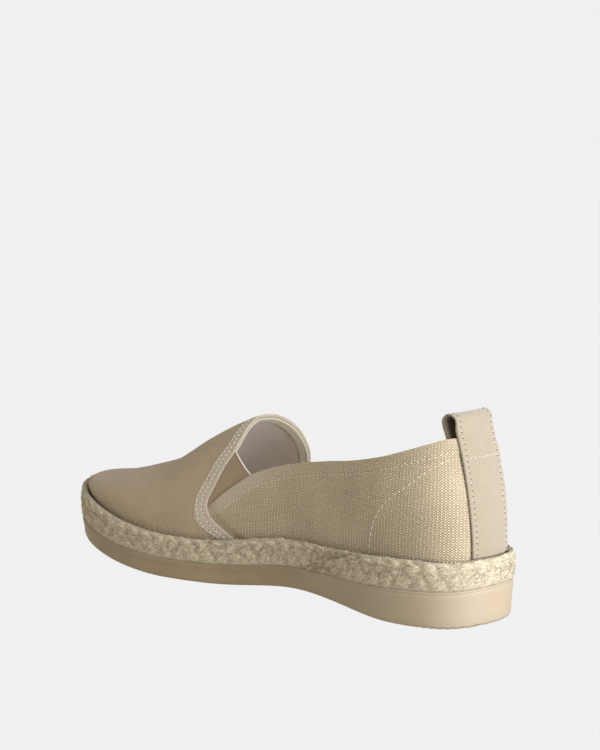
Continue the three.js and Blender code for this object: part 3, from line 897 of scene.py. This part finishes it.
# Turned hem near an edge: the cloth is double there, pulled in along each stitch row, and rounded at the
# edge itself
def hemDepth(offset, lift, wide, seams, dent, roll=0.5):
    raised = -lift * smooth((wide - offset) / 1.2 + 0.5)
    for seam in seams:
        raised = raised + dent * np.exp(-(((offset - seam) / 0.38) ** 2))
    return raised + roll * rolled(offset, roll)


# A lining has no hem, only its rounded edge
def liningEdge(offset):
    return hemDepth(offset, 0.0, 1.0, (), 0.0, roll=lining["roll"])


# Creases over the toe joint: place along the shoe and to the side, slant, width and depth of each
creases = ((196.0, 24.0, 0.35, 7.0, 0.28), (184.0, 30.0, -0.25, 6.0, 0.22), (208.0, 30.0, 0.5, 8.0, 0.2))


# Soft creases: each is a gaussian trough across a line, fading towards its ends, on a faint waver of
# crossed sines
def creaseDepth(points):
    x, y, z = points[..., 0], points[..., 1], points[..., 2]
    depth = np.zeros_like(x)
    for at, side, slant, wide, deep in creases:
        for sign in (1, -1):
            away = (x - at - slant * (y * sign - side)) / wide
            depth = depth + deep * np.exp(-away**2) * np.exp(-(((y * sign - side) / 12) ** 2))
    waver = 0.12 * np.sin(x / 9.0 + y / 14.0) * np.sin(z / 11.0 + y / 17.0)
    return depth + waver


# Length up each column of the last, from the jute to the height shares v, read off a finely divided
# profile
def lengthUp(angle, v, fineness=60):
    profile = lastPoint(angle[None, :], np.linspace(0, 1, fineness)[:, None], 0.0)
    run = runLength(profile)
    index = np.clip(v * (fineness - 1), 0, fineness - 1.001)
    low = index.astype(int)
    columns = np.arange(len(angle))[None, :]
    return run[low, columns] + (run[low + 1, columns] - run[low, columns]) * (index - low), run[-1]


# Vamp shell: rows from the jute to the ridge; each row runs from the medial edge over the outer face to
# the toe, on to the lateral edge, and back along the inner face, so the shell is closed. Its map is laid
# out flat from the ridge.
def vampGrid(outerDepth, innerDepth, backFrom, withHem, rowCount, columnCount):
    v = np.concatenate([[0.0, 0.0], np.linspace(0, 1, rowCount) ** 0.94])[:, None]
    toeShare = np.linspace(0, 1, columnCount)[1:]
    offset = np.concatenate([edgeSteps, np.full(len(toeShare), farOff)])[None, :]
    skins = []
    for side in (1, -1):
        edge = vampAngle(v, side, backFrom, 0.0)
        past = vampAngle(v, side, backFrom + edgeSteps[-1], 0.0)
        near = edge + (past - edge) * edgeSteps / edgeSteps[-1]
        far = past + (math.pi - past) * toeShare
        angle = side * np.concatenate([near, far], axis=1)
        shaped, soft, hem = liningEdge(offset), 0.0, np.zeros_like(angle)
        if withHem:
            shaped = hemDepth(offset, vamp["hemLift"], vamp["hemWide"], vamp["seams"], vamp["seamDent"])
            soft = creaseDepth(lastPoint(angle, v, 0.0)) * smooth((offset - 4) / 5)
            hem = smooth((vamp["hemWide"] + 0.3 - offset) / 0.8) + hem
        outer = lastPoint(angle, v, outerDepth + shaped + soft)
        reach = innerDepth - (innerDepth - outerDepth) / 2 * rolled(offset, 0.5)
        inner = lastPoint(angle, v, reach + soft)
        ridge = lastPoint(angle, 1.0, 0.0)[..., :2]
        foot = lastPoint(angle, 0.0, 0.0)[..., :2]
        here, total = lengthUp(angle[len(v) // 2], v + 0 * angle)
        uv = ridge + unit(foot - ridge) * (total - here)[..., None]
        outer[:2, :, 2] -= skirt
        inner[:2, :, 2] -= skirt
        outer[0] = inner[0] = (outer[0] + inner[0]) / 2
        skins.append((outer, inner, uv, hem))
    (outerA, innerA, uvA, hemA), (outerB, innerB, uvB, hemB) = skins
    points = np.concatenate([outerA, outerB[:, ::-1], innerB, innerA[:, ::-1]], axis=1)
    uv = np.concatenate([uvA, uvB[:, ::-1], uvB, uvA[:, ::-1]], axis=1)
    return points, uv, np.concatenate([hemA, hemB[:, ::-1], hemB, hemA[:, ::-1]], axis=1)


# Quads along the ridge, where the medial and the lateral half of each skin meet
def ridgeFaces(points):
    rows, columns = points.shape[:2]
    quarterWay = columns // 4
    k = np.arange(quarterWay - 1)
    first = (rows - 1) * columns
    faces = []
    for start in (0, 2 * quarterWay):
        near = first + start + k
        far = first + start + 2 * quarterWay - 1 - k
        faces.append(np.stack([near, near + 1, far - 1, far], axis=-1))
    edge = first + np.array([[0, 2 * quarterWay - 1, 2 * quarterWay, 4 * quarterWay - 1]])
    return np.concatenate([*faces, edge])


def vampFaces(points):
    return np.concatenate([gridFaces(*points.shape[:2], closeColumns=True), ridgeFaces(points)])


def makeVamp():
    points, uv, hem = vampGrid(0.0, vamp["thick"], 0.0, True, vamp["rows"], vamp["toeColumns"])
    makePiece("vamp", points, vampFaces(points), vampCanvas, uv=uv, marks={"hem": hem},
              stands=("upper",))


def makeVampLining():
    points, uv, _ = vampGrid(lining["outer"], lining["inner"], lining["under"], False, lining["vampRows"],
                             lining["toeColumns"])
    makePiece("vamp_lining", points, vampFaces(points), liningMaterial, uv=uv)


makeVamp()
makeVampLining()

quarter = {
    "thick": 1.35,
    "columns": 460,
    "rows": 70,
    "frontAngle": 1.86,
    "hemWide": 6.0,
    "hemLift": 0.3,
    "roll": 0.42,  # radius of the collar's fold
    "seam": 6.4,
    "seamDent": 0.16,
    "hemFrom": 100.0,  # the hem shows from here on along the shoe
    "hemFade": 25.0,
    "duck": 1.1,  # how far the front goes in to lie under the vamp
    "liningDuck": -0.55,  # the lining comes out by this much there
}


# Quarter shell: columns round the heel from one gore to the other; each column runs up the outer face to
# the collar, over its fold and down the inner face. Its map is length along the sole by height along the
# cloth.
def quarterGrid(outerDepth, innerDepth, under, table, hemmed, columns):
    angle = np.linspace(-quarter["frontAngle"], quarter["frontAngle"], columns)
    top = collarShare(angle, under, 0.0, table)
    below = collarShare(angle, under + edgeSteps[-1], 0.0, table)
    low = below[None, :] * np.linspace(0, 1, quarter["rows"])[:, None]
    near = below + (top - below) * (1 - edgeSteps[::-1, None] / edgeSteps[-1])
    v = np.concatenate([low[:1], low[:1], low[:-1], near])
    offset = np.concatenate([np.full(len(low) + 1, farOff), edgeSteps[::-1]])[:, None]
    plain = lastPoint(angle[None, :], v, 0.0)
    ahead, x, z = aheadOfVamp(plain), plain[..., 0], plain[..., 2]
    if hemmed:
        tucked = smooth((ahead + 5.5) / 4.8)
        outerDuck, innerDuck = quarter["duck"] * tucked, 0.03 * quarter["duck"] * tucked
        double = smooth((quarter["hemWide"] - offset) / 1.2 + 0.5)
        dent = quarter["seamDent"] * np.exp(-(((offset - quarter["seam"]) / 0.4) ** 2))
        shaped = quarter["roll"] * rolled(offset, quarter["roll"]) + dent - quarter["hemLift"] * double
        fold = smooth((leaning(plain)[0] - quarter["hemFrom"]) / quarter["hemFade"])
        hem = fold * double * 0.8 + 0.12 * smooth((5.5 - offset) / 2)
        waver = 0.22 * np.sin(x / 13.0 + 1) * np.sin(z / 12.0 + x / 31.0)
        shaped = shaped + waver * smooth((offset - 3) / 8)
    else:
        outerDuck = innerDuck = quarter["liningDuck"] * smooth((ahead - 1.0) / 2.5)
        shaped = liningEdge(offset)
        hem = np.zeros_like(v)
    outer = lastPoint(angle[None, :], v, outerDepth + outerDuck + shaped)
    reach = innerDepth - (innerDepth - outerDepth) / 2 * rolled(offset, 0.42)
    inner = lastPoint(angle[None, :], v, reach + innerDuck)
    outer[:2, :, 2] -= skirt
    inner[:2, :, 2] -= skirt
    outer[0] = inner[0] = (outer[0] + inner[0]) / 2
    along = runLength(lastPoint(angle, 0.3, 0.0))
    up = runLength(plain)
    uv = np.stack([along[None, :] + 0 * up, up], axis=-1)
    return shellOf(outer, inner), np.concatenate([uv, uv[::-1]]), np.concatenate([hem, hem[::-1] * 0])


def makeQuarter():
    points, uv, hem = quarterGrid(0.0, quarter["thick"], 0.0, collarTable, True, quarter["columns"])
    faces = gridFaces(*points.shape[:2], closeRows=True)
    makePiece("quarters", points, faces, quarterCanvas, uv=uv, marks={"hem": hem})


# The lining goes on behind the gore, so its top follows the gore's top edge there
goreLiningTop = [(128, 52.0), (134.6, 57.4), (141.4, 62.6), (150, 69.5), (166, 82)]
liningTop = np.concatenate([collarTable[collarTable[:, 0] < 125], goreLiningTop])


def makeQuarterLining():
    points, uv, _ = quarterGrid(lining["outer"], lining["inner"], lining["under"], liningTop, False,
                                lining["quarterColumns"])
    faces = gridFaces(*points.shape[:2], closeRows=True)
    makePiece("quarter_lining", points, faces, liningMaterial, uv=uv)


makeQuarter()
makeQuarterLining()

gore = {
    "rib": 0.8,
    "ribHigh": 0.03,
    "depth": 0.85,
    "thick": 0.55,
    "columns": 150,
    "rows": 46,
    "angles": (1.46, 1.79),  # the columns of the last between which it lies
    "underCollar": 5.0,  # it goes on behind the quarter by this much
    "edgeRadius": 0.38,
    "edgeEnd": 2.5,  # the edge cord stops this far under the vamp
}


# Elastic panel: columns of the last between quarter and vamp, from a little below the quarter's edge to
# the panel's own top line; a sine across the columns raises the ribs. Gives back the line of its top
# edge.
def makeGore(name, side, node):
    angle = side * np.linspace(*gore["angles"], gore["columns"])
    foot = collarShare(angle, gore["underCollar"], 0.0, collarTable)
    top = np.maximum(collarShare(angle, 0.0, 0.0, goreTopTable), foot + 0.01)
    share = np.linspace(0, 1, gore["rows"])[:, None]
    v = foot + (top - foot) * share
    x, _, _, _ = outlineAt(angle, 0.0)
    rib = gore["ribHigh"] * np.sin(2 * math.pi * x / gore["rib"])[None, :]
    edge = np.clip(1 - (1 - share) * 30 / 0.9, 0, 1)
    outer = lastPoint(angle[None, :], v, gore["depth"] - rib * (1 - edge) + 0.25 * edge**2)
    inner = lastPoint(angle[None, :], v, gore["depth"] + gore["thick"] - 0.25 * edge**2)
    up = runLength(outer)
    uv = np.stack([x[None, :] + 0 * up, up], axis=-1)
    points = shellOf(outer, inner)
    faces = gridFaces(*points.shape[:2], closeRows=True)
    uv = np.concatenate([uv, uv[::-1]])
    makePiece(name, points, faces, elasticMaterial, uv=uv, stands=(node,))
    rim = lastPoint(angle, top, gore["depth"] + 0.1)
    return rim[aheadOfVamp(rim) < gore["edgeEnd"]]


# Round cord: circles of a given radius along a path, drawn to a point at both ends
def cordAlong(path, radius, sides=8):
    along = unit(np.gradient(path, axis=0))
    one = unit(np.cross(along, np.array([0.0, 0.0, 1.0])))
    turn = np.linspace(0, 2 * math.pi, sides, endpoint=False)
    size = radius * np.concatenate([[0.02], np.ones(len(path) - 2), [0.02]])
    return path[:, None] + circle(one, np.cross(along, one), turn) * size[:, None, None]


for side, sideName in ((1, "medial"), (-1, "lateral")):
    rim = makeGore("gore_" + sideName + "_elastic", side, "gore_" + sideName)
    cord = cordAlong(rim, gore["edgeRadius"])
    faces = gridFaces(*cord.shape[:2], closeColumns=True)
    makePiece("gore_" + sideName + "_edge", cord, faces, edgeMaterial)

tape = {
    "wide": 5.6,
    "thick": 0.4,
    "under": 0.05,
    "steps": 9,
    "selvedge": 0.6,  # mm over which its edges are rounded
    "ridge": 0.12,  # height of the woven ridge near its lower edge
}


# Flat tape on the lining just inside an edge: the edge's own curve moved down in equal steps, with
# rounded selvedges and a gaussian ridge near the lower one.
def tapeShell(curveOf):
    offset = np.linspace(tape["under"], tape["under"] + tape["wide"], tape["steps"])
    fromEdge = np.minimum(offset - offset[0], offset[-1] - offset) / tape["selvedge"]
    rounding = (1 - np.clip(fromEdge, 0, 1)) ** 2 * tape["thick"] / 2
    ridge = tape["ridge"] * np.exp(-(((offset - offset[-1] + 1.0) / 0.35) ** 2))
    faceIn = np.array([curveOf(o, 2.0 + tape["thick"] - r - g) for o, r, g in zip(offset, rounding, ridge)])
    faceOut = np.array([curveOf(o, lining["outer"] + r) for o, r in zip(offset, rounding)])
    run = runLength(faceIn[0])
    offset = np.concatenate([offset, offset[::-1]])
    uv = np.stack(np.broadcast_arrays(run[None, :], offset[:, None]), axis=-1)
    return shellOf(faceIn, faceOut), uv


throatShares = np.concatenate([np.linspace(0.32, 1, 120), np.linspace(1, 0.32, 120)[1:]])
throatSides = np.concatenate([np.ones(120), -np.ones(119)])
collarAngles = np.linspace(-1.5, 1.5, 300)


def throatCurve(offset, depth):
    angle = vampAngle(throatShares, throatSides, offset, 0.0)
    return lastPoint(throatSides * angle, throatShares, depth)


def collarCurve(offset, depth):
    return lastPoint(collarAngles, collarShare(collarAngles, offset, 0.0), depth)


for name, curveOf in (("throat_tape", throatCurve), ("collar_tape", collarCurve)):
    points, uv = tapeShell(curveOf)
    faces = gridFaces(*points.shape[:2], closeRows=True)
    makePiece(name, points, faces, tapeMaterial, uv=uv)

strip = {
    "foot": (-11.0, 14.0),  # y of its two edges at the jute
    "head": (-14.0, 13.0),  # and at the loop
    "headZ": 88.0,  # where it leaves the heel's face for the loop
    "thick": 1.2,
    "gap": 0.3,
    "loopTop": 94.8,
    "loopDepth": 9.0,
    "flatten": 0.5,
    "columns": 64,
    "steps": 200,
    "wallThick": 2.0,
    "tail": (79.0, 76.0, 73.0),  # heights of the end inside the collar
    "seamIn": 2.2,  # stitch rows this far in from the edges
    "seamDent": 0.22,
    "crossSeam": 75.5,  # height of the stitch row across
}
stripBase = float(juteZ(np.array(5.0))) + 0.5

# Shares of the strip's width, closer together towards its two edges
evenShares = np.linspace(0, 1, strip["columns"])
stripShares = (evenShares + (1 - np.cos(math.pi * evenShares)) / 2) / 2
stripWide = strip["head"][1] - strip["head"][0]


def stripY(share, z):
    up = np.clip((z - stripBase) / (strip["headZ"] - stripBase), 0, 1)
    first = strip["foot"][0] + (strip["head"][0] - strip["foot"][0]) * up
    second = strip["foot"][1] + (strip["head"][1] - strip["foot"][1]) * up
    return first + (second - first) * share


def sideAndHeight(points):
    return points[..., 1], points[..., 2]


# Point of the heel's face at a given y and z
def heelPoint(y, z, depth):
    y, z = np.broadcast_arrays(np.asarray(y, float), np.asarray(z, float))
    angle, v = onLast(y, z, sideAndHeight, y / 45, np.clip((z - 28) / 86, 0.02, 0.9), depth)
    return lastPoint(angle, v, depth)


# One ribbon: up the heel's face, over in an arc and down inside the collar. The way in is the depth below
# its outer face, from 0 to its thickness.
def ribbonPath(share, wayIn):
    headZ, thick, gap = strip["headZ"], strip["thick"], strip["gap"]
    z = np.concatenate([[stripBase], np.linspace(stripBase + 0.8, headZ, 70)])
    back = heelPoint(stripY(share, z), z, wayIn - gap - thick)
    radius = strip["loopDepth"] / 2
    topY = stripY(share, headZ)
    curved = heelPoint(topY, headZ, -gap - thick)[..., 0]
    straight = heelPoint(10.0, headZ, -gap - thick)[..., 0]
    centreX = curved + (straight - curved) * strip["flatten"] + 0.4 + radius
    turn = np.linspace(math.pi, 0, 30)
    r = radius - wayIn
    arcZ = strip["loopTop"] - radius + r * np.sin(turn)
    arc = np.stack([centreX + r * np.cos(turn), topY + 0 * turn, arcZ], axis=-1)
    knee = np.array([[centreX + r - 0.4, topY, headZ - 2.0]])
    tailZ = np.array(strip["tail"])
    tail = heelPoint(stripY(share, tailZ), tailZ, strip["wallThick"] + gap + thick - wayIn)
    return np.concatenate([back, arc, knee, tail])


# Evens out the corners of a path by averaging each point with its neighbours a few times
def relaxed(path, times):
    for _ in range(times):
        inner = (path[:-2] + path[1:-1] * 2 + path[2:]) / 4
        path = np.concatenate([path[:1], inner, path[-1:]])
    return path


# Values of a path's rows at given lengths along it
def alongRun(at, run, rows):
    return np.stack([np.interp(at, run, rows[:, k]) for k in range(3)], axis=-1)


# Points at equal steps along a path
def evenly(path, count):
    run = runLength(path)
    return alongRun(np.linspace(0, run[-1], count), run, path)


# Strip and loop: a ribbon path for each share of the width, in front and behind; the edges are rounded by
# bringing the two faces together, and the face is dented along each stitch row.
def makeStrip():
    outer, inner = [], []
    for share in stripShares:
        fromEdge = min(share, 1 - share) * stripWide
        sink = strip["thick"] / 2 * float(rolled(fromEdge, 0.55))
        dent = strip["seamDent"] * math.exp(-(((fromEdge - strip["seamIn"]) / 0.4) ** 2))
        outer.append(evenly(relaxed(ribbonPath(share, sink + dent), 3), strip["steps"]))
        inner.append(evenly(relaxed(ribbonPath(share, strip["thick"] - sink), 3), strip["steps"]))
    outer, inner = np.array(outer), np.array(inner)
    points = shellOf(outer, inner)
    faces = gridFaces(*points.shape[:2], closeRows=True)
    # the inner face is marked for painted shade
    innerShadeMark = np.concatenate([np.zeros(outer.shape[:2]), np.full(inner.shape[:2], 0.8)])
    makePiece("heel_strip_nubuck", points, faces, nubuckMaterial, marks={"innerShade": innerShadeMark},
              stands=("heel_strip",))
    return outer


stripFace = makeStrip()

stitch = {"rings": 6, "sides": 6}

# Each kind of stitch: length, space to the next, radius and lift above the cloth
stitchKinds = {
    "vamp": (1.5, 0.8, 0.18, 0.0),
    "collar": (1.6, 1.2, 0.13, -0.02),
    "counter": (1.8, 1.2, 0.15, -0.02),
    "strip": (1.7, 0.9, 0.16, 0.02),
    "stripHoleShade": (0.7, 1.9, 0.24, 0.1),
    "cross": (1.7, 0.9, 0.22, 0.14),
    "crossHoleShade": (0.6, 2.0, 0.2, 0.1),
}

# Seam of the heel counter from the collar down, as x and height in the leaning plane
counterSeam = np.array([
    (14, 73), (26.6, 61.2), (36.6, 53.2), (42.6, 47.2), (46.6, 40.2), (48.9, 32.2), (49.6, 24.6),
])


# Each stitch is a short tube on the cloth: its middle stands on the surface and its ends dip in
def stitchesAlong(path, normals, kind):
    long, space, radius, lift = stitchKinds[kind]
    run = runLength(path)
    starts = (np.arange(int(run[-1] / (long + space))) + 0.2) * (long + space)
    t = np.linspace(0, 1, stitch["rings"])
    at = starts[:, None] + t[None, :] * long
    place = alongRun(at, run, path)
    up = unit(alongRun(at, run, normals))
    along = unit(np.gradient(place, axis=1))
    arch = (1 - (2 * t - 1) ** 4)[None, :, None]
    place = place + up * (radius * (1.5 * arch - 0.9) + lift)
    size = radius * np.sqrt(np.maximum(0.02, 1 - (2 * t - 1) ** 6))
    turn = np.linspace(0, 2 * math.pi, stitch["sides"], endpoint=False)
    rings = circle(np.cross(along, up), up, turn) * size[:, None, None]
    return (place[:, :, None] + rings).reshape(-1, 3)


def makeStitches(name, rows, material):
    points = np.concatenate(rows)
    count = len(points) // (stitch["rings"] * stitch["sides"])
    makePiece(name, points, tubeFaces(stitch["rings"], stitch["sides"], count), material)


# Stitch rows of the canvas: two along the vamp edge, one under the collar and one round each heel counter
def makeSeams():
    rows = []
    shares = np.concatenate([np.linspace(0.005, 1, 260), np.linspace(1, 0.005, 260)[1:]])
    sides = np.concatenate([np.ones(260), -np.ones(259)])
    depth = 0.12 - vamp["hemLift"]
    for seam in vamp["seams"]:
        angle = sides * vampAngle(shares, sides, seam, 0.0)
        rows.append(stitchesAlong(lastPoint(angle, shares, depth), lastNormal(angle, shares, depth), "vamp"))
    angle = np.linspace(-1.7, 1.7, 700)
    share = collarShare(angle, quarter["seam"], 0.0)
    path, normals = lastPoint(angle, share, 0.0), lastNormal(angle, share, 0.0)
    underStrip = (path[:, 0] < 12) & (np.abs(path[:, 1]) < 15)
    for part in (angle < 0, angle > 0):
        keep = part & ~underStrip
        rows.append(stitchesAlong(path[keep], normals[keep], "collar"))
    knots, run = np.linspace(0, 1, len(counterSeam)), np.linspace(0, 1, 160)
    wantX, wantZ = [curveAt(knots, counterSeam[:, k], run) for k in (0, 1)]
    for side in (1, -1):
        start = side * angleAt(np.clip(wantX, 4, 250))
        angle, share = onLast(wantX, wantZ, leaning, start, (wantZ - 20) / 80, 0.0)
        rows.append(stitchesAlong(lastPoint(angle, share, 0.0), lastNormal(angle, share, 0.0), "counter"))
    makeStitches("seam_thread", rows, threadMaterial)


# Stitch rows of the heel strip: one near each edge and one across, with a dark tube of painted shade
# for the needle hole between two stitches
def makeStripSeams():
    middle = strip["columns"] // 2
    normal = unit(np.cross(np.gradient(stripFace, axis=1), np.gradient(stripFace, axis=0)))
    if normal[middle, 40, 0] > 0:
        normal = -normal
    rows, holeShades = [], []
    for share in (strip["seamIn"] / stripWide, 1 - strip["seamIn"] / stripWide):
        k = int(np.argmin(np.abs(stripShares - share)))
        path, up = stripFace[k, 2:150], normal[k, 2:150]
        rows.append(stitchesAlong(path, up, "strip"))
        holeShades.append(stitchesAlong(path, up, "stripHoleShade"))
    onHeel = stripFace[middle, :130, 2]
    level = int(np.argmin(np.abs(onHeel - strip["crossSeam"])))
    path, up = stripFace[4:-4, level], normal[4:-4, level]
    rows.append(stitchesAlong(path, up, "cross"))
    holeShades.append(stitchesAlong(path, up, "crossHoleShade"))
    makeStitches("strip_thread", rows, stripThreadMaterial)
    makeStitches("strip_needle_hole_shade", holeShades, holeShadeMaterial)


makeSeams()
makeStripSeams()

footbed = {"inset": 6.3, "columns": 300, "across": 24}

# Wall of the footbed from below: mm further in, height above the rubber
footbedWall = ((0, 0.3), (0, 6.0), (0, 7.4), (0.3, 7.9), (1.2, 8.1), (3, 7.8), (6, 7.4), (9, 7.25))


# Footbed: a wall inside the upper with a rounded rim, filled below and above with strips across the shoe
def makeFootbed():
    angle = ringOf(footbed["columns"])
    rows = []
    for more, height in footbedWall:
        x, y, _, _ = outlineAt(angle, -footbed["inset"] - more)
        rows.append(np.stack([x, y, rubberZ(x) + height], axis=-1))
    fillings = [stripsAcross(ring, footbed["across"]) for ring in (rows[0], rows[-1])]
    points, faces = filledWall(np.array(rows), fillings)
    makePiece("footbed", points, faces, liningMaterial, uv=points[:, :2], stands=("insole",))


makeFootbed()

studio = {
    "floorWide": 60.0,
    "pale": 0.871,  # linear grey of the backdrop
    "floorShare": 0.004,  # the part of it that the floor reflects; the rest is its own light
    "camera": (-0.5905, 0.6606, 0.2135),
    "aim": (0.0033, -0.0104, 0.1003),
    "lens": 88.0,
    "lightAim": (0, 0, 0.04),
    "lightColor": (0.9, 0.98, 1.25),
    "lights": (  # name, place, size, watts
        ("key", (-0.68, 0.06, 0.24), 0.5, 12.5),
        ("fill", (0.7, 0.9, 0.65), 0.9, 1.8),
    ),
}


# Puts a lamp or the camera in its place, turned to what it points at
def pointAt(name, data, place, target):
    made = bpy.data.objects.new(name, data)
    made.location = place
    made.rotation_euler = (Vector(target) - Vector(place)).to_track_quat("-Z", "Y").to_euler()
    bpy.context.scene.collection.objects.link(made)
    return made


def makeFloor():
    mesh = bpy.data.meshes.new("floor")
    turn = np.linspace(0, 2 * math.pi, 64, endpoint=False)
    rim = np.stack([np.cos(turn), np.sin(turn), 0 * turn], axis=-1) * studio["floorWide"]
    mesh.from_pydata(rim.tolist(), [], [list(range(64))])
    material, tree = newMaterial("studio floor, painted")
    share = studio["floorShare"]
    shader = add(tree, "BsdfPrincipled", {
        "Base Color": (share, share, share, 1), "Roughness": 1.0, "Specular IOR Level": 0.0,
        "Emission Color": (1, 1, 1, 1), "Emission Strength": studio["pale"] * (1 - share),
    })
    add(tree, "OutputMaterial", {"Surface": shader})
    mesh.materials.append(material)
    floor = bpy.data.objects.new("floor", mesh)
    bpy.context.scene.collection.objects.link(floor)


def makeStudio():
    scene = bpy.context.scene
    pale = studio["pale"]
    world = bpy.data.worlds.new("studio")
    world.use_nodes = True
    world.node_tree.nodes["Background"].inputs["Color"].default_value = (pale, pale, pale, 1)
    scene.world = world
    for name, place, size, watts in studio["lights"]:
        data = bpy.data.lights.new(name, "AREA")
        data.size = size
        data.energy = watts
        data.color = studio["lightColor"]
        pointAt(name, data, place, studio["lightAim"])
    data = bpy.data.cameras.new("camera")
    data.lens = studio["lens"]
    data.sensor_width = 36.0
    data.clip_end = 200.0
    scene.camera = pointAt("camera", data, studio["camera"], studio["aim"])
    scene.view_settings.view_transform = "Standard"
    print("made the studio")


makeFloor()
makeStudio()
